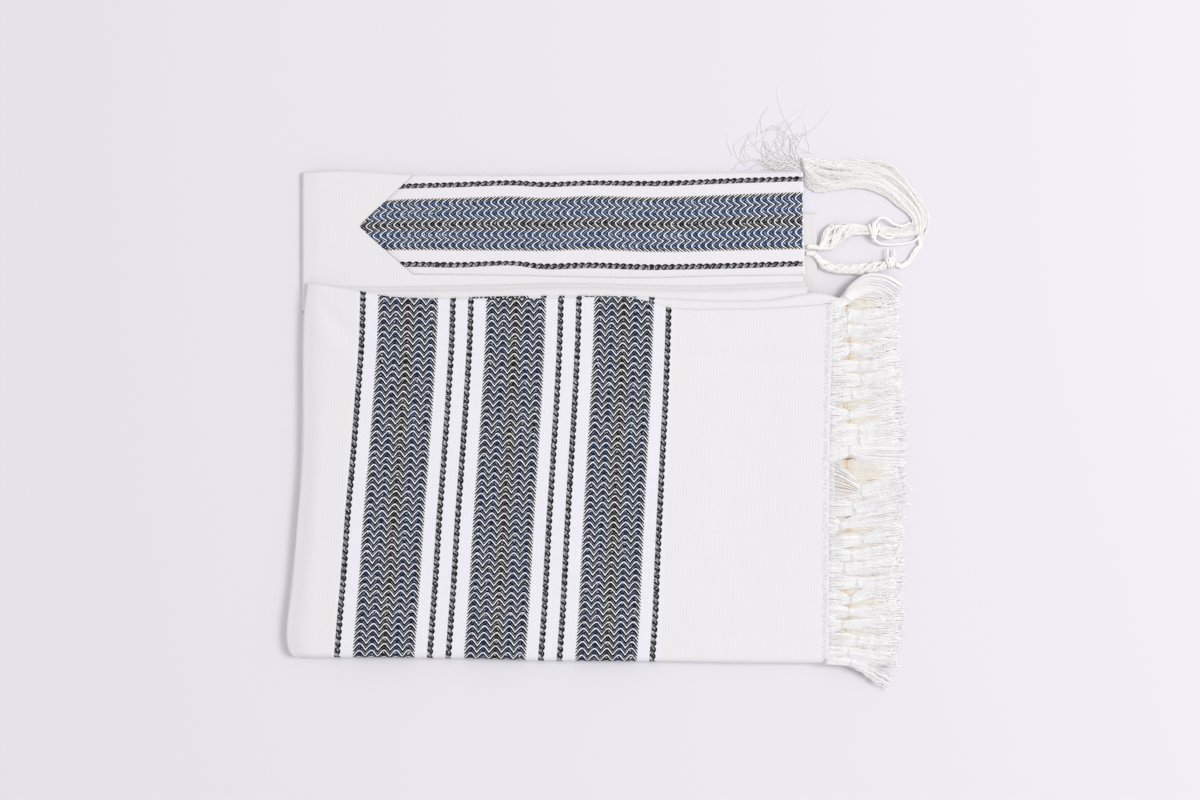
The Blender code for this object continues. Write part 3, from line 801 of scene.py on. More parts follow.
class ShawlYarnSettings(bpy.types.PropertyGroup):
    """Sizes and colours of the fringe and the tassels."""

    threads: bpy.props.IntProperty(
        name="Threads", description="Threads in a bunch of the front fringe", default=40
    )
    thread_radius: bpy.props.FloatProperty(
        name="Thread radius", description="Radius of a fringe thread, millimetres", default=0.54
    )
    string_thick: bpy.props.FloatProperty(
        name="String thickness", description="Diameter of a tassel string, millimetres", default=2.5
    )
    # Painted light and shade: the fringe is one white yarn; its root and tips are painted lighter to make
    # up for the shade among the thin threads, and its middle darker for the shade in the combed bunches.
    fringe_root: bpy.props.FloatVectorProperty(
        name="Fringe root", description="Yarn by the cloth", subtype="COLOR", default=(0.965, 0.957, 0.965)
    )
    fringe_middle: bpy.props.FloatVectorProperty(
        name="Fringe", description="Yarn half-way out", subtype="COLOR", default=(0.928, 0.920, 0.928)
    )
    fringe_tip: bpy.props.FloatVectorProperty(
        name="Fringe tip", description="Yarn at the tips", subtype="COLOR", default=(0.985, 0.975, 0.985)
    )
    # Painted shade: the knots are the fringe's own white yarn, painted a touch darker and warmer for the
    # shade in their tight turns.
    knot: bpy.props.FloatVectorProperty(
        name="Knots", description="Knots of the fringe", subtype="COLOR", default=(0.90, 0.885, 0.875)
    )
    # Painted shade: the lower fringes are the same white yarn, painted creamier for the warm shade seen in
    # the gaps between the front bunches, and browner at their knots where that shade is deepest.
    lower_yarn: bpy.props.FloatVectorProperty(
        name="Shaded lower yarn", description="Yarn of the lower fringes", subtype="COLOR",
        default=(0.885, 0.845, 0.775),
    )
    lower_knot: bpy.props.FloatVectorProperty(
        name="Shaded lower knots", description="Yarn of the lower fringes at their knots", subtype="COLOR",
        default=(0.80, 0.64, 0.45),
    )
    string: bpy.props.FloatVectorProperty(
        name="String", description="Tassel strings", subtype="COLOR", default=(0.952, 0.939, 0.925)
    )


class ShawlStageSettings(bpy.types.PropertyGroup):
    """Floor, lights and camera."""

    floor: bpy.props.FloatVectorProperty(
        name="Floor", description="Colour of the floor", subtype="COLOR", default=(0.80, 0.79, 0.835)
    )
    dome: bpy.props.FloatProperty(
        name="Dome light", description="Strength of the even light from all round", default=0.715
    )
    key: bpy.props.FloatProperty(
        name="Key light", description="Power of the large soft lamp", default=134.0, unit="POWER"
    )
    camera_height: bpy.props.FloatProperty(
        name="Camera height", description="Above the table", default=2.24, unit="LENGTH"
    )


GROUPS = {}
MATERIALS = {}


def make_materials():
    scene = bpy.context.scene
    cloth, yarn = scene.shawl_cloth, scene.shawl_yarn
    GROUPS["stripe"] = stripe_group(Plain(cloth))
    GROUPS["weave"] = weave_group(Plain(cloth))
    MATERIALS["cloth"] = cloth_material(Plain(cloth), "Body cloth", tuple(cloth.white))
    # the tucked corner's copy of the body cloth is painted darker as shade
    MATERIALS["corner"] = cloth_material(Plain(cloth), "Corner cloth", tuple(cloth.corner_white))
    MATERIALS["band"] = band_material(Plain(cloth))
    s = Plain(yarn)
    # the front fringe's yarn is painted lighter at its root and tips and darker in its middle, as light and
    # shade
    MATERIALS["fringe"] = yarn_material("Fringe yarn", s.fringe_root, s.fringe_middle, s.fringe_tip)
    # the front fringe's knots are painted darker as shade
    MATERIALS["fringe knot"] = yarn_material("Fringe knots", s.knot, s.knot, s.knot)
    # the lower fringes' yarn and knots are painted creamier and browner as shade
    MATERIALS["lower fringe"] = yarn_material(
        "Lower fringe yarn", s.lower_yarn, s.lower_yarn, s.fringe_tip, s.lower_knot
    )
    MATERIALS["lower knot"] = yarn_material("Lower fringe knots", s.lower_yarn, s.lower_yarn, s.lower_yarn)
    MATERIALS["string"] = yarn_material("Tassel string", s.string, s.string, s.string, roughness=0.8)


class Plain:
    """A settings group's values, with its colours as tuples."""

    def __init__(self, group):
        for name in group.bl_rna.properties.keys():
            value = getattr(group, name)
            if hasattr(value, "__len__") and not isinstance(value, str):
                value = tuple(value)
            if name not in ("rna_type", "name"):
                setattr(self, name, value)


# ---------------------------------------------------------------- the turned-up half
LEFT_TURN_Z = (FRONT_MID + INNER_MID) / 2
LEFT_TURN_OUTER = (FRONT_MID - INNER_MID) / 2 + WALL / 2
# rough lengths that set how many steps a piece has
UP_LENGTH = 350
FRONT_LENGTH = 515
STRIP_LENGTH = 480
STRIP_HEIGHT = 134
BAND_LENGTH = 425


def stripe_place(u, v):
    """Place across the stripes of a point of the turned-up half."""
    first, last = curve_at(FIRST_LINE, v), curve_at(LAST_LINE, v)
    if u > last:
        return STRIPE_SPAN + u - last
    if u < first:
        return u - first
    return (u - first) / (last - first) * STRIPE_SPAN


def turned_up_piece(name, upper_edge, section_at, spacing, shift, node):
    """A sheet of the turned-up half.

    section_at gives rows of (u, middle height, edge step, unrolled u). shift moves its stripes to the
    right, and is None for a layer that shows only its plain end.
    """
    rows, weave = [], []
    up_steps = round(UP_LENGTH / spacing)
    for share in [s - 1 for s in steps(16)[:-1]] + steps(up_steps):
        angle = -min(share, 0) * math.pi
        guide_v = TURN_REACH * (1 - math.sin(angle)) + BOTTOM_EDGE[0][1]
        if share > 0:
            guide_v = mix(guide_v, FRONT_UPPER_EDGE[0][1], share)
        row, own = [], []
        for u, height, step, unrolled in section_at(guide_v):
            radius = height - TURN_Z
            low_v = curve_at(BOTTOM_EDGE, u) + TURN_REACH
            v = low_v - radius * math.sin(angle)
            z = TURN_Z + radius * math.cos(angle)
            along = low_v - radius * angle
            if share > 0:
                v = along = mix(low_v, curve_at(upper_edge, u) - step, share)
            row.append((u, v, z))
            across = PLAIN + unrolled if shift is None else stripe_place(unrolled + shift, max(along, 0))
            own.append((across, along))
        rows.append(row)
        weave.append(own)
    return cloth_piece(name, rows, weave, WALL, MATERIALS["cloth"], [node])


def outer_section(top_mid, right_edge, inset, spacing):
    """Section of a layer with a left fold: from the lower end of its fold over to its right edge."""

    def at(v):
        left_u = curve_at(FRONT_LEFT_EDGE, v) + LEFT_TURN_OUTER + inset
        right_u = curve_at(right_edge, v)
        radius = top_mid - LEFT_TURN_Z
        turn = round_turn(left_u, LEFT_TURN_Z, radius, -1)
        shares = steps(TURN_STEPS)
        folded = [(u, z, 0, left_u - radius * math.pi * s) for (u, z), s in zip(turn, shares)]
        across = steps(round(FRONT_LENGTH / spacing))[1:]
        flat = [mix(left_u, right_u, s) for s in across]
        return folded[::-1] + [(u, top_mid, 0, u) for u in flat]

    return at


def inner_section(spacing):
    """Section of the two inner layers, which a right fold joins: over, round and back."""

    def at(v):
        left_u = curve_at(FRONT_LEFT_EDGE, v) + LEFT_TURN_OUTER + INNER_CLEAR
        middle_z = (INNER_TOP_MID + INNER_MID) / 2
        radius = (INNER_TOP_MID - INNER_MID) / 2
        centre_u = curve_at(INNER_RIGHT_EDGE, v) - radius - WALL / 2
        along = [mix(left_u, centre_u, s) for s in steps(round(STRIP_LENGTH / spacing))[:-1]]
        turn = round_turn(centre_u, middle_z, radius, 1)
        falls = steps(TURN_STEPS)
        over = [(u, INNER_TOP_MID, INNER_STEP, u) for u in along]
        fold = [
            (u, z, INNER_STEP * (1 - fall), centre_u + fall * radius * math.pi)
            for (u, z), fall in zip(turn, falls)
        ]
        reach = centre_u * 2 + radius * math.pi
        under = [(u, INNER_MID, 0, reach - u) for u in reversed(along)]
        return over + fold + under

    return at


class SHAWL_OT_turned_up_half(bpy.types.Operator):
    """Makes the four layers of the cloth's turned-up half"""

    bl_idname = "shawl.turned_up_half"
    bl_label = "Turned-up half"

    def execute(self, context):
        spacing = context.scene.shawl_cloth.spacing
        inner, second = spacing * 2.6, spacing * 1.4
        turned_up_piece(
            "inner_layers_cloth", INNER_UPPER_EDGE, inner_section(inner), inner, None,
            "inner_layers",
        )
        turned_up_piece(
            "second_layer_cloth", SECOND_UPPER_EDGE,
            outer_section(SECOND_MID, SECOND_RIGHT_EDGE, NEST_CLEAR, second), second, SECOND_SHIFT,
            "second_layer",
        )
        turned_up_piece(
            "front_panel_cloth", FRONT_UPPER_EDGE,
            outer_section(FRONT_MID, FRONT_RIGHT_EDGE, 0, spacing), spacing, 0,
            "front_panel",
        )
        return {"FINISHED"}


# ---------------------------------------------------------------- the upper strip
BAND_OUTER = (BAND_MID - BAND_BACK_MID + BAND_WALL) / 2
POINT_LEAN = 0.7  # distance to the point's slanting edge, as a share of that to the left
BAND_END_V = (BAND_LOWER_EDGE[0][1], TOP_EDGE[0][1] - BAND_EDGE_CLEAR - 2)
RIGHT_TURN_Z = (UPPER_MID + BACK_MID) / 2
UPPER_LEFT_TURN_U = UPPER_LEFT_EDGE_U + (UPPER_MID - UNDER_MID) / 2 + WALL / 2
CORNER_WEAVE = 490  # the corner's own place across the cloth


def right_turn_u(v):
    """Centre of the right fold, about which the upper panel and the neckband both turn."""
    return curve_at(UPPER_RIGHT_EDGE, v) - BAND_OUTER


def upper_panel(spacing):
    """The upper strip's top layer, with its fold at each side."""
    rows, weave = [], []
    radius = (UPPER_MID - UNDER_MID) / 2
    for share in steps(round(STRIP_HEIGHT / spacing)):
        guide_v = mix(TUCK_V, TOP_EDGE[0][1], share)
        right_u = right_turn_u(guide_v)
        turn = round_turn(UPPER_LEFT_TURN_U, UNDER_MID + radius, radius, -1)[::-1]
        section = [
            (u, z, UPPER_LEFT_TURN_U - radius * math.pi * (1 - k / TURN_STEPS))
            for k, (u, z) in enumerate(turn)
        ]
        for s in steps(round(STRIP_LENGTH / spacing))[1:-1]:
            u = mix(UPPER_LEFT_TURN_U, right_u, s)
            section.append((u, UPPER_MID, u))
        tight = (UPPER_MID - BACK_MID) / 2
        for k, (u, z) in enumerate(round_turn(right_u, RIGHT_TURN_Z, tight, 1)):
            section.append((u, z, right_u + tight * math.pi * k / TURN_STEPS))
        row = [(u, mix(TUCK_V, curve_at(TOP_EDGE, u), share), z) for u, z, _ in section]
        rows.append(row)
        weave.append([(PLAIN + unrolled, v) for (_, v, _), (_, _, unrolled) in zip(row, section)])
    return cloth_piece(
        "upper_panel_cloth", rows, weave, WALL, MATERIALS["cloth"],
        ["upper_panel"],
    )


def band_place(u, v):
    """The neckband's own place across its stripes, in the body cloth's stripe widths."""
    lines = [curve_at([(row[0], row[k]) for row in BAND_LINES], u) for k in range(1, 5)]
    marks = (-GUARD_OFFSET, -WIDE / 2, WIDE / 2, GUARD_OFFSET)
    k = 0 if v < lines[1] else 1 if v < lines[2] else 2
    return mix(marks[k], marks[k + 1], (v - lines[k]) / (lines[k + 1] - lines[k]))


def band_end_u(v):
    """The neckband's pointed end: two straight cuts that meet in a slightly blunt point."""
    tip_u, tip_v = BAND_TIP
    low, high = BAND_END_V
    reach = (tip_v - v) / (tip_v - low) if v < tip_v else (v - tip_v) / (high - tip_v)
    return tip_u + (BAND_SHOULDER_U - tip_u) * (math.hypot(reach, BAND_BLUNT) - BAND_BLUNT)


def neckband(spacing):
    """The neckband's half that shows: its pointed end, its pressed rim and its turn round the fold."""
    rows, weave, fullness = [], [], []
    radius = (BAND_MID - BAND_BACK_MID) / 2
    low_v, high_v = BAND_END_V
    tip_share = (BAND_TIP[1] - low_v) / (high_v - low_v)
    shares = [s * tip_share for s in steps(20)] + [mix(tip_share, 1, s) for s in steps(24)[1:]]
    for share in shares:
        guide_v = mix(low_v, high_v, share)
        left_u, right_u = band_end_u(guide_v), right_turn_u(guide_v)
        across = [mix(left_u, right_u, s) for s in steps(round(BAND_LENGTH / spacing))[:-1]]
        section = [(u, BAND_MID, u) for u in across]
        for k, (u, z) in enumerate(round_turn(right_u, RIGHT_TURN_Z, radius, 1)):
            section.append((u, z, right_u + radius * math.pi * k / TURN_STEPS))
        row, own = [], []
        for u, z, unrolled in section:
            upper_v = curve_at(TOP_EDGE, u) - BAND_EDGE_CLEAR
            v = mix(curve_at(BAND_LOWER_EDGE, u), upper_v, share)
            from_rim = min(min(share, 1 - share) * (upper_v - low_v), (u - left_u) * POINT_LEAN)
            rim = math.exp(-((from_rim / BAND_RIM) ** 2)) if z == BAND_MID else 0
            full = 1 - BAND_THINNING * rim
            row.append((u, v, z - BAND_PRESS * rim - BAND_WALL * (1 - full) / 2))
            fullness.append(full)
            own.append((band_place(u, v), -unrolled * ROW / BAND_ROW))
        rows.append(row)
        weave.append(own)
    return cloth_piece(
        "neckband_cloth", rows, weave, BAND_WALL, MATERIALS["band"],
        ["neckband"], fullness,
    )


def corner_end():
    """The corner of the two lowest layers, which sticks out to the right of the neckband."""
    low, high = UNDER_MID, UNDER_SECOND_MID
    radius = (high - low) / 2
    rows, weave = [], []
    for share in steps(32):
        v = mix(TUCK_V, CORNER_TOP_V, share)
        left_u, centre_u = right_turn_u(v), curve_at(CORNER_RIGHT_EDGE, v) - radius - WALL / 2
        over = [(mix(left_u, centre_u, s), high) for s in steps(5)[:-1]]
        under = [(u, low) for u, _ in reversed(over)]
        section = over + round_turn(centre_u, (low + high) / 2, radius, 1) + under
        lift = 0.35 * math.sin(share * 9.0)
        rows.append([(u, v, z + (lift * 0.4 if z > low + 0.1 else 0)) for u, z in section])
        weave.append([(PLAIN + CORNER_WEAVE + k * 1.3, v) for k in range(len(section))])
    # its cloth is the copy painted darker for the shade it lies in
    return cloth_piece(
        "corner_end_cloth", rows, weave, WALL, MATERIALS["corner"],
        ["corner_end"],
    )


class SHAWL_OT_upper_strip(bpy.types.Operator):
    """Makes the cloth of the upper strip and its tucked corner"""

    bl_idname = "shawl.upper_strip"
    bl_label = "Upper strip"

    def execute(self, context):
        upper_panel(context.scene.shawl_cloth.spacing)
        corner_end()
        return {"FINISHED"}


class SHAWL_OT_neckband(bpy.types.Operator):
    """Makes the striped neckband with its pointed end"""

    bl_idname = "shawl.neckband"
    bl_label = "Neckband"

    def execute(self, context):
        neckband(context.scene.shawl_cloth.spacing * 0.8)
        return {"FINISHED"}


# ---------------------------------------------------------------- the hidden layers
LEFT_ROLL_Z = (UPPER_MID + UNDER_MID) / 2
# name, middle height, node, where it lies, inset of its edge, wall. A rolled layer has a fold at each side.
HIDDEN_SHEETS = (
    ("underside_cloth", UNDER_MID, "lower_hidden_layers", "lower", 1.0, WALL),
    ("under_second_cloth", UNDER_SECOND_MID, "lower_hidden_layers", "lower", 0.2, WALL),
    ("lower_back_cloth", BACK_MID, "lower_hidden_layers", "folded", 0.0, WALL),
    ("lower_top_cloth", UPPER_MID, "lower_hidden_layers", "rolled", 0.0, WALL),
    ("upper_underside_cloth", UNDER_MID, "upper_hidden_layers", "upper", 2.2, WALL),
    ("upper_second_cloth", UNDER_SECOND_MID, "upper_hidden_layers", "upper", 0.8, WALL),
    ("neckband_back", BAND_BACK_MID, "upper_hidden_layers", "upper", 1.2, BAND_WALL),
    ("upper_back_cloth", BACK_MID, "upper_hidden_layers", "upper", 1.6, WALL),
)


def hidden_sheet(name, mid, node, region, inset, wall, spacing):
    """One hidden layer, with its own edge, as a flat sheet between the folds that show."""
    rows, weave = [], []
    is_upper = region == "upper"
    low, high = (JOIN_V + GAP, TOP_EDGE[0][1]) if is_upper else (0.0, JOIN_V)
    roll = UPPER_MID - LEFT_ROLL_Z
    for share in steps(round((high - low) / spacing)):
        guide_v = mix(low, high, share)
        if is_upper:
            left_u, right_u = UPPER_LEFT_TURN_U + GAP, right_turn_u(guide_v) - GAP
        else:
            left_u = curve_at(LOWER_LEFT_EDGE, guide_v) + roll + WALL / 2
            right_u = curve_at(FRONT_RIGHT_EDGE, guide_v) - inset
            if region != "lower":
                right_u = curve_at(INNER_RIGHT_EDGE, guide_v) - PITCH
        section = [(mix(left_u, right_u, s), mid) for s in steps(round(STRIP_LENGTH / spacing))]
        if region == "rolled":
            left_turn = round_turn(left_u, LEFT_ROLL_Z, roll, -1)[::-1]
            right_turn = round_turn(right_u, RIGHT_TURN_Z, UPPER_MID - RIGHT_TURN_Z, 1)[:-1]
            section = left_turn + section[1:-1] + right_turn
        row = []
        for u, z in section:
            low_v = JOIN_V + GAP if is_upper else curve_at(BOTTOM_EDGE, u) + TURN_REACH + TURN_CLEAR
            high_v = curve_at(TOP_EDGE, u) - inset if is_upper else JOIN_V
            row.append((u, mix(low_v, high_v, share), z))
        rows.append(row)
        weave.append([(PLAIN + u, v) for u, v, _ in row])
    kind, slot = ("band", "neckband_cloth") if name == "neckband_back" else ("cloth", "body_cloth")
    places = [u for u, _, _ in rows[0]]
    flat = ((max(places) - min(places)) * MM, (high - low) * MM)
    return cloth_piece(name, rows, weave, wall, MATERIALS[kind], [node])


class SHAWL_OT_hidden_layers(bpy.types.Operator):
    """Makes the layers that the fold hides, whose edges show from the sides"""

    bl_idname = "shawl.hidden_layers"
    bl_label = "Hidden layers"

    def execute(self, context):
        for row in HIDDEN_SHEETS:
            hidden_sheet(*row, context.scene.shawl_cloth.spacing * 3)
        return {"FINISHED"}


# ---------------------------------------------------------------- threads
CLEARANCE = 0.05  # no thread lies lower than this above the table
STRAIGHT_UP = 1e-3  # a direction whose level part is smaller than this counts as upright
DRAWN_IN = 3  # steps over which a thread's drawn-in start grows to its full radius


class ThreadMesh:
    """Collects many thin tubes into one mesh, each with a number and a share along it as its UV."""

    def __init__(self, sides=4):
        self.sides = sides
        self.points = []
        self.faces = []
        self.marks = []
        self.ends = set()

    def add(self, route, radius, number, taper=1.0, start=1.0):
        """A tube along settled design points, closed at both ends, with its end and start drawn thinner."""
        first = len(self.points)
        count = len(route)
        side_step = 2 * math.pi / self.sides
        for k, point in enumerate(route):
            tangent = route[min(k + 1, count - 1)] - route[max(k - 1, 0)]
            tangent.normalize()
            side = tangent.cross(Vector((0, 0, 1)))
            if side.length < STRAIGHT_UP:
                side = Vector((1, 0, 0))
            side.normalize()
            up = side.cross(tangent)
            share = k / (count - 1)
            reach = radius * mix(1.0, taper, share) * min(1, mix(start, 1.0, k / DRAWN_IN))
            for j in range(self.sides):
                # a tube with an odd number of sides has a flat one on top
                angle = (j + 0.5 - self.sides % 2 / 2) * side_step - math.pi / 2
                spot = point + (side * math.cos(angle) + up * math.sin(angle)) * reach
                spot.z = max(spot.z, CLEARANCE)
                self.points.append(spot)
                self.marks.append((number, share))
        for k in range(count - 1):
            ring = first + k * self.sides
            for j in range(self.sides):
                a, b = ring + j, ring + (j + 1) % self.sides
                self.faces.append((a, a + self.sides, b + self.sides, b))
        self.ends |= {len(self.faces), len(self.faces) + 1}
        last = first + (count - 1) * self.sides
        self.faces.append(tuple(first + j for j in range(self.sides)))
        self.faces.append(tuple(last + j for j in reversed(range(self.sides))))

    def mesh(self, name):
        mesh = bpy.data.meshes.new(name)
        mesh.from_pydata([place(*point) for point in self.points], [], self.faces)
        for polygon in mesh.polygons:
            polygon.use_smooth = polygon.index not in self.ends
        layer = mesh.uv_layers.new(name=WEAVE_MAP)
        for loop in mesh.loops:
            layer.data[loop.index].uv = self.marks[loop.vertex_index]
        return mesh


def thread_piece(name, batch, material, node):
    """Makes a piece of a batch of threads: the fringe's yarn, or the tassels' string."""
    slot = "fringe_yarn" if node == "fringe" else "tassel_string"
    return add_piece(name, batch.mesh(name), MATERIALS[material], [node])


def smooth_route(points, spacing):
    """Points about spacing apart on the smooth curve through a route's own points."""
    points = [Vector(p) for p in points]
    ends = [points[0] * 2 - points[1], *points, points[-1] * 2 - points[-2]]
    route = []
    for a, b, c, d in zip(ends, ends[1:], ends[2:], ends[3:]):
        count = max(1, round((c - b).length / spacing))
        square = 2 * a - 5 * b + 4 * c - d
        cube = 3 * b - 3 * c + d - a
        for k in range(count):
            t = k / count
            route.append(0.5 * (2 * b + (c - a) * t + square * t**2 + cube * t**3))
    return route + [points[-1]]


# ---------------------------------------------------------------- fringe
# bunches of the front fringe, from the top down: where their threads leave the edge (high v, low v), half
# the width of their fan, then the middle line from the knot to the tip as u, v pairs
FRONT_BUNCHES = (
    (343, 331, 10.5, ((521, 347), (529, 355), (540, 361), (551, 361), (561, 357), (570, 350))),
    (331, 316, 6.8, ((522, 331), (540, 329), (570, 335))),
    (316, 303, 7.2, ((521, 316), (540, 315), (571, 321))),
    (303, 288, 7.6, ((525, 300), (540, 297), (571, 303))),
    (288, 276, 6.4, ((533, 283), (545, 282), (573, 287))),
    (276, 262, 6.2, ((535, 269), (545, 271), (575, 274))),
    (262, 246, 7.8, ((526, 255), (541, 256), (577, 261))),
    (246, 229, 7.4, ((523, 235), (541, 240), (578, 247))),
    (229, 216, 5.8, ((533, 221), (545, 225), (579, 231))),
    (216, 205, 5.4, ((533, 211), (545, 214), (580, 220))),
    (205, 190, 11.0, ((524, 202), (541, 199), (579, 197))),
    (190, 153, 8.6, ((535, 162), (549, 166), (582, 172))),
    (153, 139, 7.0, ((528, 146), (541, 149), (580, 157))),
    (139, 123, 7.6, ((515, 130), (535, 135), (577, 141))),
    (123, 108, 7.0, ((536, 116), (546, 118), (577, 124))),
    (108, 95, 6.4, ((526, 101), (543, 103), (576, 107))),
    (95, 82, 6.4, ((519, 88), (541, 88), (577, 90))),
    (82, 69, 6.6, ((531, 75), (543, 74), (578, 76))),
    (69, 55, 7.0, ((525, 58), (536, 64), (549, 68), (572, 63))),
    (55, 42, 6.6, ((523, 47), (543, 48), (578, 47))),
    (42, 28, 6.8, ((517, 35), (541, 35), (577, 33))),
    (28, 14, 6.8, ((531, 20), (543, 18), (574, 16))),
    (14, 4, 6.6, ((523, 8), (541, 5), (570, 1))),
    (4, -3, 7.0, ((525, -1), (540, -6), (565, -21))),
)
EDGE_LIMITS = (-2.5, 342.0)  # the lowest and the highest v of a thread at the edge
FRINGE_FALL = ((0, 1.0), (0.12, 0.98), (0.3, 0.86), (0.55, 0.58), (0.8, 0.36), (1, 0.2))
FRINGE_REACH = 76.0  # from the cloth's edge to the tips
KNOT_HALF = 4.5  # half the width of a bunch at its knot
CURL_HALF = 10  # a bunch that fans out wider than this to each side lies in one smooth curl
ROOT_STEPS = 6
THREAD_STEPS = 20
ROOT_INSET = 3.0  # how far inside the cloth's edge a thread starts
LAID_SHARE = 0.85  # share of the front threads that start on top of the cloth
LAID_START = (-5.0, 2.0)
LAID_FALL = 8  # over which such a thread sinks to the others
FAN_RUN = 46  # from a knot to the tips, about
TIP_RUN = 45  # how far past its middle line a longer thread goes, as a multiple of its extra share
ROOT_THICK, BUNCH_THICK, TIP_THICK = 0.3, 1.7, 1.2  # thickness of a bunch at the edge, the knot, the tip
THREAD_TAPER = 0.65  # radius at the tip, as a share of the full one
FUZZ_STEP = 1.1
FUZZ_RADIUS = 0.18
LAID_TAPER = 0.3  # radius of a laid thread at its start
THREAD_SINK = 0.5  # from the fringe's own height to the middle of a bunch


def fringe_height(u, top, low):
    """Height of a fringe, which falls from the cloth's edge to the tips."""
    share = (u - FRONT_RIGHT_EDGE[1][1]) / FRINGE_REACH
    last = FRINGE_FALL[-1][1]
    return low + (top - low) * (curve_at(FRINGE_FALL, share) - last) / (1 - last)


def cloth_top(u, v):
    """Height of the front panel's upper face."""
    return settled(u, v, FRONT_MID)[2] + WALL / 2


def fringe_bunch(batch, bunch, top, low, threads, radius, gather, is_front, rng):
    """One bunch: frayed warp ends that run side by side into a knot and fan out wavy beyond it."""
    high_v, low_v, half, line = bunch
    middle = smooth_route([(u, v, 0) for u, v in line], 1.0)
    is_curl = half > CURL_HALF
    phase, wave = rng.uniform(0, 6.28), rng.uniform(9.0, 13.0)
    swing = rng.uniform(0.3, 0.7) * (0.4 if is_curl else 1.0)
    fan_rate = rng.uniform(1.3, 2.4)
    pull = rng.uniform(1.5, 2.1)
    skew, bow = rng.uniform(-0.6, 0.6), rng.uniform(-1.1, 1.1)
    lift = rng.uniform(0.0, 0.7) if is_front else 0.0
    overlap = 0.22 if is_front else 0.05
    count = round(threads * (1.5 if is_curl else 1.0))
    for j in range(count):
        a = (j + 0.5 + rng.uniform(-0.45, 0.45)) / count * 2 - 1
        is_under = j % 3 == 2
        edge_v = mix(low_v, high_v, (a * (1 + overlap * rng.random()) + 1) / 2 + rng.uniform(-0.05, 0.05))
        edge_v = min(max(edge_v, EDGE_LIMITS[0]), EDGE_LIMITS[1])
        edge_u = curve_at(FRONT_RIGHT_EDGE, edge_v)
        start = Vector((edge_u - ROOT_INSET, edge_v, 0))
        is_laid = is_front and rng.random() < LAID_SHARE
        if is_laid:
            start.x += rng.uniform(*LAID_START)
        knot = middle[0] + Vector((0, a * gather, 0))
        length = rng.uniform(0.80, 1.0) if rng.random() < 0.5 else rng.uniform(0.92, 1.04)
        if is_curl:
            length = rng.uniform(0.93, 1.03)
        own_phase = phase + a * 0.7 + rng.uniform(-0.25, 0.25)
        rise = rng.uniform(-0.16, 0.16)
        stray = rng.uniform(-1.0, 1.0) ** 3 * (0.8 if is_curl else 2.2)
        own_pull = pull + rng.uniform(-0.15, 0.15)
        dome = math.sqrt(max(1 - a * a, 0)) * (0.15 if is_under else 1.0)
        route = []
        for k in range(ROOT_STEPS):
            t = k / ROOT_STEPS
            point = Vector((mix(start.x, knot.x, t), mix(start.y, knot.y, t**own_pull), 0))
            thick = mix(ROOT_THICK, BUNCH_THICK, t)
            point.z = fringe_height(point.x, top, low) - THREAD_SINK + (dome - 0.5) * thick + rise
            if is_laid:
                resting = cloth_top(min(point.x, edge_u), edge_v) + mix(-0.12, 0.15, min(1, t * 4))
                point.z = mix(resting, point.z, min(max((point.x - edge_u) / LAID_FALL, 0), 1))
            route.append(point)
        rest = THREAD_STEPS - ROOT_STEPS
        for k in range(rest + 1):
            t = k / rest * length
            index = min(t, 0.999) * (len(middle) - 1)
            at, part = int(index), index - int(index)
            base = middle[at].lerp(middle[at + 1], part)
            tangent = (middle[at + 1] - middle[at]).normalized()
            if t > 1:
                base = base + tangent * (t - 1) * TIP_RUN
            side = Vector((-tangent.y, tangent.x, 0))
            opening = mix(gather, half, min(1.0, t * fan_rate) ** 0.85) + (half * 0.25 * max(t - 0.5, 0))
            ripple = swing * math.sin(own_phase + t * FAN_RUN * 2 * math.pi / wave) * min(1, t * 6)
            away = (a + skew * 0.2 * math.sin(math.pi * t)) * opening + ripple + stray * t * t
            away += bow * math.sin(math.pi * min(t, 1)) * is_front
            point = base + side * away
            thick = mix(BUNCH_THICK, TIP_THICK, min(1, t * 2))
            height = fringe_height(point.x, top, low) + lift * math.sin(math.pi * min(t, 1)) ** 2
            point.z = max(height - THREAD_SINK + (dome - 0.5) * thick + rise, radius + CLEARANCE)
            route.append(point)
        batch.add(route, radius, rng.random(), THREAD_TAPER, LAID_TAPER if is_laid else 1.0)


def fuzz(batch, count, top, low, is_front, rng):
    """Loose fibre ends along the frayed edge, some of them on the cloth itself."""
    for _ in range(count):
        v = rng.uniform(-2, 341)
        edge = curve_at(FRONT_RIGHT_EDGE, v)
        u = edge + rng.uniform(-6.5 if is_front else -2.5, 14)
        heading = rng.uniform(-1.2, 1.2)
        height = fringe_height(u, top, low) + 0.3
        if is_front and u < edge + 2:
            height = cloth_top(min(u, edge), v)
        route = [Vector((u, v, height))]
        for _step in range(3):
            heading += rng.uniform(-0.5, 0.5)
            ahead = Vector((math.cos(heading), math.sin(heading), rng.uniform(-0.1, 0.14)))
            route.append(route[-1] + ahead * FUZZ_STEP)
        batch.add(route, FUZZ_RADIUS, rng.random(), 0.4)


KNOT_STEPS = 12
KNOT_RISE = 1.5  # half the height of a turn of the knot
KNOT_RADIUS = 0.55


def add_knot(knots, line, z, half, rng, size):
    """A small overhand knot: three slanting turns of yarn drawn round the bunch."""
    (u, v), (next_u, next_v) = line[0], line[1]
    ahead = Vector((next_u - u, next_v - v, 0)).normalized()
    side = Vector((-ahead.y, ahead.x, 0))
    lean = rng.uniform(0.6, 1.5) * rng.choice((-1, 1))
    for along, slant, wide in ((-1.0, lean, 0.92), (0.2, lean * 0.7, 1.0), (1.2, -lean * 0.8, 0.9)):
        ring = []
        for k in range(KNOT_STEPS + 1):
            angle = 2 * math.pi * k / KNOT_STEPS
            reach = side * (half * wide * math.cos(angle))
            reach += ahead * (along * size + slant * math.cos(angle))
            ring.append(Vector((u, v, z + KNOT_RISE * size * math.sin(angle))) + reach)
        knots.add(ring, KNOT_RADIUS * size, rng.random())


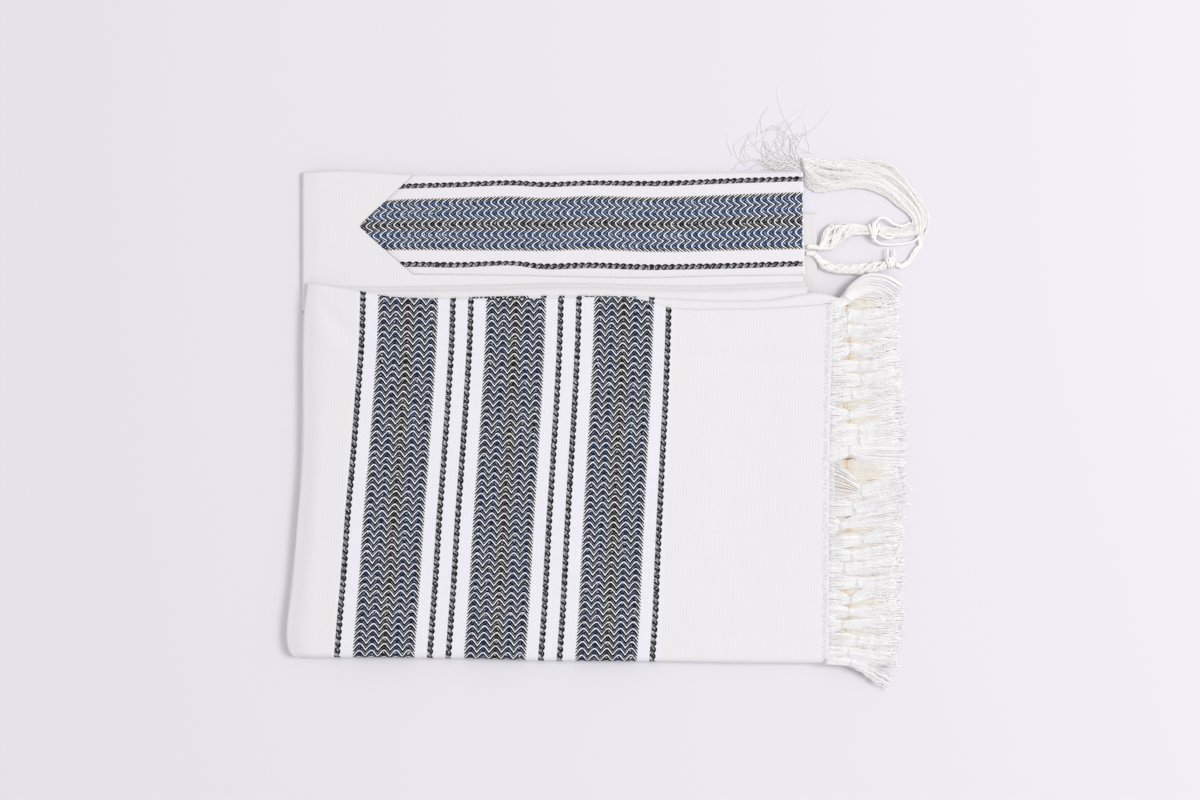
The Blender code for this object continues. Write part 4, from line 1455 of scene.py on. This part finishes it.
def make_fringe(
    name, bunches, top, low, threads, radius, gather, material, knot_material, rng, size, fuzz_count
):
    """A whole fringe: its bunches and loose fibres in two pieces and its knots in another."""
    is_front = name == "fringe_front"
    knots = ThreadMesh(4)
    half = (len(bunches) + 1) // 2
    for part, part_bunches in (("", bunches[:half]), ("_low", bunches[half:])):
        batch = ThreadMesh(3)
        for bunch in part_bunches:
            own_gather = gather * rng.uniform(0.75, 1.4)
            fringe_bunch(batch, bunch, top, low, threads, radius, own_gather, is_front, rng)
            z = max(fringe_height(bunch[3][0][0], top, low) - THREAD_SINK, 2.0)
            add_knot(knots, bunch[3], z, own_gather * 0.9, rng, size)
        if part:
            fuzz(batch, fuzz_count, top, low, is_front, rng)
        thread_piece(name + part, batch, material, "fringe")
    thread_piece(name + "_knots", knots, knot_material, "fringe")


# name, height at the cloth, height at the tips, threads in a bunch, half width at the knot, share of the
# full size, first v, spacing
LOWER_FRINGES = (
    ("fringe_second", SECOND_MID - 0.1, 2.1, 36, 7.2, 0.7, 347.0, 13.4),
    ("fringe_under_second", UNDER_SECOND_MID + 1.6, 1.5, 18, 5.5, 0.7, 341.0, 14.2),
    ("fringe_under", UNDER_MID + 0.9, 0.8, 14, 5.0, 0.6, 342.0, 15.0),
)


def even_bunches(first_v, spacing, rng):
    """Bunches of a lower fringe, evenly knotted down the edge."""
    bunches = []
    v = first_v
    while v > 0:
        knot = (522 + rng.uniform(-2, 4), v + rng.uniform(-1.5, 1.5))
        tip = (568 + rng.uniform(-4, 7), v + rng.uniform(-3, 5))
        bend = ((knot[0] + tip[0]) / 2 - 3, (knot[1] + tip[1]) / 2 + rng.uniform(-2, 2))
        bunches.append((v + spacing / 2, v - spacing / 2, spacing * 0.68, (knot, bend, tip)))
        v -= spacing * rng.uniform(0.9, 1.1)
    return bunches


class SHAWL_OT_fringe(bpy.types.Operator):
    """Makes the knotted fringe of the four fringed ends"""

    bl_idname = "shawl.fringe"
    bl_label = "Fringe"

    def execute(self, context):
        yarn = context.scene.shawl_yarn
        rng = random.Random(SEED)
        make_fringe(
            "fringe_front", FRONT_BUNCHES, FRONT_MID, 2.6, yarn.threads, yarn.thread_radius, KNOT_HALF,
            "fringe", "fringe knot", rng, 0.9, 900,
        )
        thick_radius = yarn.thread_radius * 1.5
        for name, top, low, threads, gather, size, first_v, spacing in LOWER_FRINGES:
            bunches = even_bunches(first_v, spacing, rng)
            make_fringe(
                name, bunches, top, low, threads, thick_radius, gather, "lower fringe", "lower knot", rng,
                size, 60,
            )
        return {"FINISHED"}


# ---------------------------------------------------------------- tassels
TASSEL_FLOOR = 0.2
OVER_1 = ((482.5, 396.5, 3.4), (486, 396.4, 4.7), (491, 396.2, 4.9), (495.5, 396.6, 4.6))
WINDINGS_1 = ((498, 398), (504, 403.2), (511.7, 407.3), (520.3, 410.9), (530.9, 412.6), (542.1, 412.2))
# the first tassel's wound stretch spreads into a loop: u, v of its outermost strand, u, v of its innermost
# one, and the height of their middle
SPREAD_1 = (
    (484, 397.6, 484, 395.4, 4.2), (490, 397.4, 490, 395.0, 5.2), (495, 397.8, 495.5, 394.4, 5.2),
    (497.8, 402.5, 501.0, 393.6, 4.6), (499.0, 408.5, 506.0, 393.8, 4.0), (502.0, 414.0, 510.5, 395.8, 3.8),
    (507.5, 417.4, 515.0, 399.4, 3.9), (515.0, 418.4, 520.0, 403.4, 4.1), (523.5, 418.3, 526.0, 407.2, 4.3),
    (532.0, 417.6, 533.0, 408.6, 4.4), (539.0, 416.4, 539.0, 408.4, 4.5), (545.0, 415.4, 545.0, 409.2, 4.5),
)
KNOT_1 = (547.2, 411.8)
OUTER_LINE = (
    (552.3, 408.6), (563.5, 407), (578, 406.8), (590.4, 410), (598, 418.6), (596.6, 431), (589.4, 442.6),
    (580.8, 454), (571.2, 464.6), (559.7, 472.3), (544.3, 475.7), (527, 476.6), (509.8, 477.1),
    (494.4, 478), (478, 479.7),
)
INNER_LINE = (
    (552.3, 414.9), (563.5, 413.8), (576, 414.3), (584.6, 418.6), (583.7, 426.2), (575, 434),
    (564.5, 443.5), (552, 450.2), (536.6, 454), (520.3, 453.6), (504, 451.7), (493.4, 452.6), (486.8, 457),
    (484, 463.7), (482, 471.8),
)
OVER_2 = ((482.5, 390.0, 3.2), (487, 389.8, 4.2), (492, 388.6, 4.3), (495.5, 385.5, 4.0))
WINDINGS_2 = (
    (498.2, 382), (504, 378.9), (513.6, 377), (525.1, 375.8), (536.6, 375.4), (548.2, 375.9), (558.2, 378),
)
KNOT_2 = (563, 381.2)
JOINING_2 = ((568.4, 379.6), (574, 377.8), (579.8, 381.1), (584.6, 387.4), (588.9, 394.1), (591.8, 399.6))
# how far from the outer line towards the inner one each string runs, its height, and which tassel it is of
STRINGS = (
    (0.00, 0.2, 1), (0.10, 1.6, 1), (0.24, 0.2, 1), (0.38, 1.5, 1), (0.54, 0.2, 1), (0.68, 1.6, 1),
    (0.84, 0.3, 1), (1.02, 0.9, 1), (-0.08, 1.3, 2), (0.17, 2.6, 2), (0.46, 2.5, 2), (0.78, 2.4, 2),
)
# the second tassel's wound stretch, in the same way
SPREAD_2 = (
    (482.5, 391.0, 482.5, 388.8, 3.2), (487.0, 391.0, 487.0, 388.6, 4.2), (491.5, 390.2, 491.0, 386.6, 4.2),
    (496.0, 386.5, 494.5, 381.5, 3.9), (501.0, 382.6, 499.5, 375.8, 3.7), (508.0, 380.6, 507.0, 372.6, 3.6),
    (516.0, 379.6, 516.0, 371.2, 3.6), (525.0, 379.3, 525.0, 370.6, 3.6), (534.0, 379.6, 534.0, 370.9, 3.6),
    (543.0, 380.3, 543.5, 371.6, 3.6), (552.0, 381.8, 553.0, 373.6, 3.6), (559.0, 382.4, 560.0, 376.6, 3.6),
)


def twist_frame(route, k):
    """The directions across a route at one of its points."""
    tangent = route[min(k + 1, len(route) - 1)] - route[max(k - 1, 0)]
    side = tangent.normalized().cross(Vector((0, 0, 1))).normalized()
    return side, side.cross(tangent.normalized())


def lengths_along(route):
    """Length along a route up to each of its points."""
    lengths = [0.0]
    for a, b in zip(route, route[1:]):
        lengths.append(lengths[-1] + (b - a).length)
    return lengths


def string_route(share, height, tassel, thick, rng):
    """One string's own route beside the others of its band, resting on the table."""
    wobble, phase = rng.uniform(0.02, 0.06), rng.uniform(0, 6.28)
    low = TASSEL_FLOOR + thick / 2
    points = []
    for k, (outer, inner) in enumerate(zip(OUTER_LINE, INNER_LINE)):
        across = share + wobble * math.sin(phase + k * 1.1)
        z = low + height * (0.50 + 0.14 * math.sin(phase + k * 0.8))
        points.append((mix(outer[0], inner[0], across), mix(outer[1], inner[1], across), z))
    if tassel == 2:
        shift = (share - 0.4) * 2.2
        start = [(u - shift * 0.5, v + shift, low + 0.3 * height) for u, v in JOINING_2]
        points = start + points[4:]
    return points


PLIES = 4
PLY_RADIUS = 0.215  # this and the next two are shares of the string's diameter
PLY_SPREAD = 0.42
PLY_RISE = 0.17
STRING_STEP = 1.5
STRING_PITCH = 15.0  # one whole twist of a string
STRING_OPENING = 1.7  # how much wider its plies lie at its frayed end
STRING_TAPER = 0.85


def twisted_plies(batch, route, thick, number, pitch, phase, loosened=1.0, taper=1.0):
    """Soft plies that wind loosely round each other and lie rather flat. Returns the length.

    They open up by the loosened factor over the second half of the way.
    """
    lengths = lengths_along(route)
    for ply in range(PLIES):
        own = []
        for k, point in enumerate(route):
            side, up = twist_frame(route, k)
            angle = phase + 2 * math.pi * (lengths[k] / pitch + ply / PLIES)
            ease = 0.92 + 0.42 * math.sin(phase + ply * 2.1 + lengths[k] / 13)
            ease *= mix(1.0, loosened, max(lengths[k] / lengths[-1] - 0.5, 0) * 2)
            wide = math.cos(angle) * thick * PLY_SPREAD * ease
            own.append(point + side * wide + up * math.sin(angle) * thick * PLY_RISE)
        batch.add(own, thick * PLY_RADIUS, (number + 0.23 * ply) % 1.0, taper)
    return lengths[-1]


def make_string(name, route, thick, rng, node, exit_point):
    """One tassel string."""
    batch = ThreadMesh(5)
    fine = smooth_route(route, STRING_STEP)
    number, phase = rng.random(), rng.uniform(0, 6.28)
    length = twisted_plies(batch, fine, thick, number, STRING_PITCH, phase, STRING_OPENING, STRING_TAPER)
    piece = thread_piece(name, batch, "string", node)
    path = [tuple(place(*p)) for p in fine[::2]] + [tuple(place(*fine[-1]))]
    tuple(place(*exit_point))
    return piece


WINDING_STEP = 2.0
WINDING_PITCH = 11.0  # one whole twist of a winding strand's own plies
WINDING_SPREAD = 0.40  # how far a strand swings to each side, as a share of the width
WINDING_RISE = 1.25  # and how far up and down
WINDING_START = 9  # steps over which a strand rises from flat
FIBRES_PER_STRAND = 4


def spread_windings(name, rows, strands, thick, pitch, node, rng):
    """A tassel's wound stretch: strands that wind loosely round each other between two edges."""
    batch = ThreadMesh(5)
    fine = smooth_route(rows, WINDING_STEP)
    middle = [Vector(((p[0] + p[2]) / 2, (p[1] + p[3]) / 2, p[4])) for p in fine]
    lengths = lengths_along(middle)
    for j in range(strands):
        start, drift = j / strands + rng.uniform(-0.06, 0.06), rng.uniform(0, 6.28)
        points = []
        for k, row in enumerate(fine):
            run = lengths[k]
            turn = 2 * math.pi * (run / pitch + start) + 0.6 * math.sin(drift + run / 9)
            across = 0.5 + (WINDING_SPREAD + 0.06 * math.sin(drift * 2 + run / 7)) * math.cos(turn)
            rise = WINDING_RISE * math.sin(turn) * min(1, k / WINDING_START)
            points.append((mix(row[0], row[2], across), mix(row[1], row[3], across), row[4] + rise))
        points = [Vector(p) for p in points]
        twisted_plies(batch, points, thick, rng.random(), WINDING_PITCH, drift)
    for _number in range(strands * FIBRES_PER_STRAND):
        share, phase = rng.uniform(-0.05, 1.05), rng.uniform(0, 6.28)
        points = [
            (mix(row[0], row[2], share) + math.sin(phase + k * 1.7), mix(row[1], row[3], share)
             + math.sin(phase + k * 1.3) * 0.8, row[4] + rng.uniform(-1.8, 1.8))
            for k, row in enumerate(rows[2:])
        ]
        batch.add(smooth_route(points, WINDING_STEP), rng.uniform(0.25, 0.5), rng.random(), 0.6)
    return thread_piece(name, batch, "string", node)


COIL_STEPS = 28
COIL_SPREAD = 0.62  # how far apart the outer turns lie, as a share of the knot's reach
COIL_END = 0.80  # size of the outer turns, as a share of the middle ones
TAIL_SHARE = 0.85  # radius of a loose part, as a share of a turn's


def overhand_knot(name, centre, reach, turns, radius, lean, node, tails):
    """An overhand knot: several turns of string drawn tight across the bundle, and its loose parts."""
    batch = ThreadMesh(6)
    middle = Vector((*centre, TASSEL_FLOOR + reach[2]))
    for turn in range(turns):
        share = turn / (turns - 1)
        ring = []
        for k in range(COIL_STEPS + 1):
            angle = 2 * math.pi * k / COIL_STEPS
            slant = mix(-lean, lean, share) + (0.9 if turn % 2 else -0.5)
            full = mix(COIL_END, 1.0, math.sin(share * math.pi))
            ring.append(middle + Vector((
                mix(-reach[0], reach[0], share) * COIL_SPREAD + slant * math.cos(angle),
                (reach[1] - radius) * math.cos(angle) * full,
                (reach[2] - radius) * math.sin(angle) * full,
            )))
        batch.add(ring, radius, share)
    for tail in tails:
        batch.add(smooth_route(tail, 1.0), radius * TAIL_SHARE, 0.5)
    return thread_piece(name, batch, "string", node)


# the loose parts of the knots: u, v, z
KNOT_1_TAILS = (
    ((545, 413, 5.5), (549, 420.5, 6.5), (554.5, 424.2, 6.0), (560.5, 422.6, 5.2), (566, 418.4, 4.4),
     (574, 416.5, 3.6), (583, 419.5, 3.0)),
    ((544.5, 411, 6.0), (547.5, 404.0, 5.8), (553, 399.6, 4.0), (562, 398.6, 2.6), (574, 399.4, 2.2),
     (585, 401.5, 2.0), (592, 407, 2.0)),
    ((551, 409, 7.0), (556, 406, 7.4), (561, 404.6, 6.0), (566, 405.8, 4.6)),
)
KNOT_2_TAILS = (
    ((561, 384, 4.5), (560.5, 389, 4.9), (560.6, 394.2, 3.6)),
    ((565, 384, 4.3), (566.8, 389, 4.6), (566.4, 393.4, 3.2)),
)
# the tuft: u, v, radius, start angle, sweep
LOOPS = (
    (453, 499, 9.5, 200, 320),
    (453.5, 500, 11.0, 170, 330),
    (462, 497, 7.0, -40, 280),
    (441, 489, 8.5, 150, -260),
    (470, 493, 8.0, 30, 230),
    (436, 493, 11.0, 95, 150),
    (430, 484, 9.0, 80, 170),
    (474, 500, 12.0, 110, 160),
    (466, 505, 9.0, 60, 190),
    (480, 494, 10.0, 60, 150),
)
HAIRS = (
    ((474, 500), (462, 521), (456, 540), (454.7, 552.4)),
    ((441, 505), (440, 520), (447.4, 531.8)),
    ((436, 502), (438, 516), (444, 527), (447, 532)),
    ((440, 506), (455, 513), (470, 523), (479, 529)),
    ((443, 507), (462, 512), (476, 520), (485.0, 533.3)),
    ((468, 504), (482, 504), (496, 515), (506.9, 530.4)),
    ((412, 484), (408, 497), (407, 505.3)),
    ((420, 478), (414, 493), (426, 504), (436, 508)),
    ((425, 480), (422, 492), (432, 503)),
)


TUFT_THREADS = 54
TUFT_BASE = 47  # of them, lying close along the cloth's edge
TUFT_EDGE = 470.6  # no fibre lies nearer to the cloth than this v
TUFT_STEPS = 20
TUFT_LOWEST = 0.5
LOOP_STEPS = 29
LOOP_RADIUS = 0.34
LOOP_LENGTHEN = 1.15
HAIR_HEIGHT = 0.7
HAIR_RADIUS = 0.3


def tuft_threads(rng):
    """The frayed ends of the strings: loose wavy fibres, loops and single hairs by the upper edge."""
    batch = ThreadMesh(3)
    for number in range(TUFT_THREADS):
        is_base = number < TUFT_BASE
        if is_base:
            point = Vector((rng.uniform(440, 494), rng.uniform(470.8, 481), rng.uniform(0.5, 1.6)))
            heading, reach = rng.uniform(2.6, 3.5), rng.uniform(14, 40)
        else:
            point = Vector((rng.uniform(466, 492), rng.uniform(476, 487), rng.uniform(0.5, 1.4)))
            heading, reach = rng.uniform(1.5, 2.7), rng.uniform(16, 44)
        turn = rng.uniform(-0.10, 0.12)
        route = [point.copy()]
        for _step in range(TUFT_STEPS):
            heading += turn + rng.uniform(-0.2, 0.2)
            point = point + Vector((math.cos(heading), math.sin(heading), 0)) * reach / TUFT_STEPS
            point.y = max(point.y, TUFT_EDGE)
            point.z = max(TUFT_LOWEST, point.z + rng.uniform(-0.30, 0.26))
            route.append(point.copy())
        radius = rng.uniform(0.30, 0.48) if is_base else rng.uniform(0.26, 0.38)
        batch.add(smooth_route(route[::2], 1.8), radius, rng.random(), 0.6)
    for u, v, size, start_angle, sweep in LOOPS:
        route = []
        for k in range(LOOP_STEPS + 1):
            angle = math.radians(start_angle + sweep * k / LOOP_STEPS)
            away = size * LOOP_LENGTHEN * math.sin(angle)
            around = Vector((size * math.cos(angle), away, 1.2 + k * 0.03))
            route.append(Vector((u, v, 0)) + around)
        batch.add(route, LOOP_RADIUS, rng.random(), 0.7)
    for hair in HAIRS:
        route = smooth_route([(*p, HAIR_HEIGHT) for p in hair], 2.0)
        batch.add(route, HAIR_RADIUS, rng.random(), 0.35)
    return thread_piece("tassel_tuft_threads", batch, "string", "tassel_tuft")


FIBRE_STEPS = (28, 70)  # fewest and most steps of a loose fibre
FIBRE_STEP = 2.2
FIBRE_SWAY = 0.7


def stray_fibres(count, thick, rng):
    """Fine fibres that have worked loose from the strings and lie among them."""
    batch = ThreadMesh(3)
    for number in range(count):
        is_bed = number % 2 == 0
        share = rng.uniform(-0.08, 1.04)
        height = rng.uniform(-0.4, 0.9) if is_bed else rng.uniform(0.4, 2.6)
        route = smooth_route(string_route(share, height, 1, thick, rng), FIBRE_STEP)
        first = rng.randrange(len(route) // 2)
        part = route[first:first + rng.randrange(*FIBRE_STEPS)]
        phase, wave = rng.uniform(0, 6.28), rng.uniform(5, 13)
        for k, point in enumerate(part):
            side, _up = twist_frame(part, min(k, len(part) - 2))
            part[k] = point + side * (FIBRE_SWAY * math.sin(phase + k * FIBRE_STEP * 2 * math.pi / wave))
        batch.add(part, rng.uniform(0.7, 1.0) if is_bed else rng.uniform(0.3, 0.5), rng.random(), 0.5)
    return thread_piece("tassel_1_loose_fibres", batch, "string", "tassel_1_strands_outer")


class SHAWL_OT_tassels(bpy.types.Operator):
    """Makes the two corner tassels: windings, knots, strings and their frayed ends"""

    bl_idname = "shawl.tassels"
    bl_label = "Corner tassels"

    def execute(self, context):
        thick = context.scene.shawl_yarn.string_thick
        rng = random.Random(SEED + 5)
        base_1 = OVER_1 + tuple((*p, TASSEL_FLOOR + 4.4) for p in WINDINGS_1)
        base_2 = OVER_2 + tuple((*p, TASSEL_FLOOR + 3.6) for p in WINDINGS_2)
        on_1 = [
            spread_windings("tassel_1_plies", SPREAD_1, 11, 2.3, 62.0, "tassel_1_windings", rng),
            overhand_knot(
                "tassel_1_overhand_knot", KNOT_1, (4.6, 8.5, 4.4), 4, 1.45, 1.2, "tassel_1_knot",
                KNOT_1_TAILS,
            ),
            stray_fibres(230, thick, rng),
        ]
        on_2 = [
            spread_windings("tassel_2_plies", SPREAD_2, 8, 2.2, 25.0, "tassel_2_windings", rng),
            overhand_knot(
                "tassel_2_overhand_knot", KNOT_2, (4.2, 5.6, 3.6), 4, 1.2, 1.0, "tassel_2_knot",
                KNOT_2_TAILS,
            ),
        ]
        exits = {1: (*KNOT_1, 4), 2: (*KNOT_2, 3)}
        seen = set()
        for number, (share, height, tassel) in enumerate(STRINGS, 1):
            route = string_route(share, height, tassel, thick, rng)
            node = "tassel_2_strands"
            if tassel == 1:
                node = "tassel_1_strands_outer" if share < 0.5 else "tassel_1_strands_inner"
            exit_point, pieces = exits[tassel], []
            if tassel not in seen:
                base, pieces = ((base_1, on_1), (base_2, on_2))[tassel - 1]
                route = list(base) + [exit_point] + route
                exit_point = base[0]
            seen.add(tassel)
            make_string(f"tassel_{tassel}_string_{number}", route, thick, rng, node, exit_point)
        tuft_threads(rng)
        return {"FINISHED"}


# ---------------------------------------------------------------- stage
FLOOR_SIZE = 12.0
FLOOR_Z = -0.0002  # just under the cloth's lowest threads
DOME_COLOUR = (1.0, 0.985, 0.99, 1)
LAMP_SIZE = 2.4
LAMP_PLACE = (3.5, 0.6, 4.0)
CAMERA_PLACE = (0.0016, 0.0285)
LENS = 70.0
SENSOR = 36.0
FAR_LIMIT = 50.0


class SHAWL_OT_stage(bpy.types.Operator):
    """Makes the floor, the soft light and the camera straight above"""

    bl_idname = "shawl.stage"
    bl_label = "Stage"

    def execute(self, context):
        s = Plain(context.scene.shawl_stage)
        bpy.ops.object.select_all(action="DESELECT")
        bpy.ops.mesh.primitive_plane_add(size=FLOOR_SIZE, location=(0, 0, FLOOR_Z))
        floor = context.object
        floor.name = "floor"
        floor.data.materials.append(floor_material(s))

        world = bpy.data.worlds.new("Soft light")
        world.use_nodes = True
        background = world.node_tree.nodes["Background"]
        background.inputs["Color"].default_value = DOME_COLOUR
        background.inputs["Strength"].default_value = s.dome
        context.scene.world = world

        lamp = bpy.data.lights.new("Key", "AREA")
        lamp.shape = "DISK"
        lamp.size = LAMP_SIZE
        lamp.energy = s.key
        key = bpy.data.objects.new("Key", lamp)
        key.location = LAMP_PLACE
        key.rotation_euler = (-key.location).to_track_quat("-Z", "Y").to_euler()
        context.scene.collection.objects.link(key)

        camera = bpy.data.cameras.new("Camera")
        camera.lens = LENS
        camera.sensor_width = SENSOR
        camera.clip_end = FAR_LIMIT
        viewer = bpy.data.objects.new("Camera", camera)
        viewer.location = (*CAMERA_PLACE, s.camera_height)
        context.scene.collection.objects.link(viewer)
        context.scene.camera = viewer
        context.scene.view_settings.view_transform = "Standard"
        return {"FINISHED"}


OPERATORS = (
    SHAWL_OT_stage,
    SHAWL_OT_hidden_layers,
    SHAWL_OT_upper_strip,
    SHAWL_OT_neckband,
    SHAWL_OT_turned_up_half,
    SHAWL_OT_fringe,
    SHAWL_OT_tassels,
)
SETTINGS = (
    ("shawl_cloth", ShawlClothSettings),
    ("shawl_yarn", ShawlYarnSettings),
    ("shawl_stage", ShawlStageSettings),
)


class SHAWL_PT_panel(bpy.types.Panel):
    """Lists the steps that make the folded shawl"""

    bl_label = "Folded prayer shawl"
    bl_space_type = "VIEW_3D"
    bl_region_type = "UI"
    bl_category = "Shawl"

    def draw(self, context):
        for operator in OPERATORS:
            self.layout.operator(operator.bl_idname)
        for name, group in SETTINGS:
            box = self.layout.box()
            for row in group.__annotations__:
                box.prop(getattr(context.scene, name), row)


def register():
    """Registers the settings, the operators and the panel."""
    for name, group in SETTINGS:
        bpy.utils.register_class(group)
        setattr(bpy.types.Scene, name, bpy.props.PointerProperty(type=group))
    for entry in (*OPERATORS, SHAWL_PT_panel):
        bpy.utils.register_class(entry)


def unregister():
    """Takes them out again."""
    for entry in reversed((*OPERATORS, SHAWL_PT_panel)):
        bpy.utils.unregister_class(entry)
    for name, group in reversed(SETTINGS):
        delattr(bpy.types.Scene, name)
        bpy.utils.unregister_class(group)


def main():
    register()
    make_materials()
    for operator in OPERATORS:
        group, name = operator.bl_idname.split(".")
        getattr(getattr(bpy.ops, group), name)()


if __name__ == "__main__":
    main()
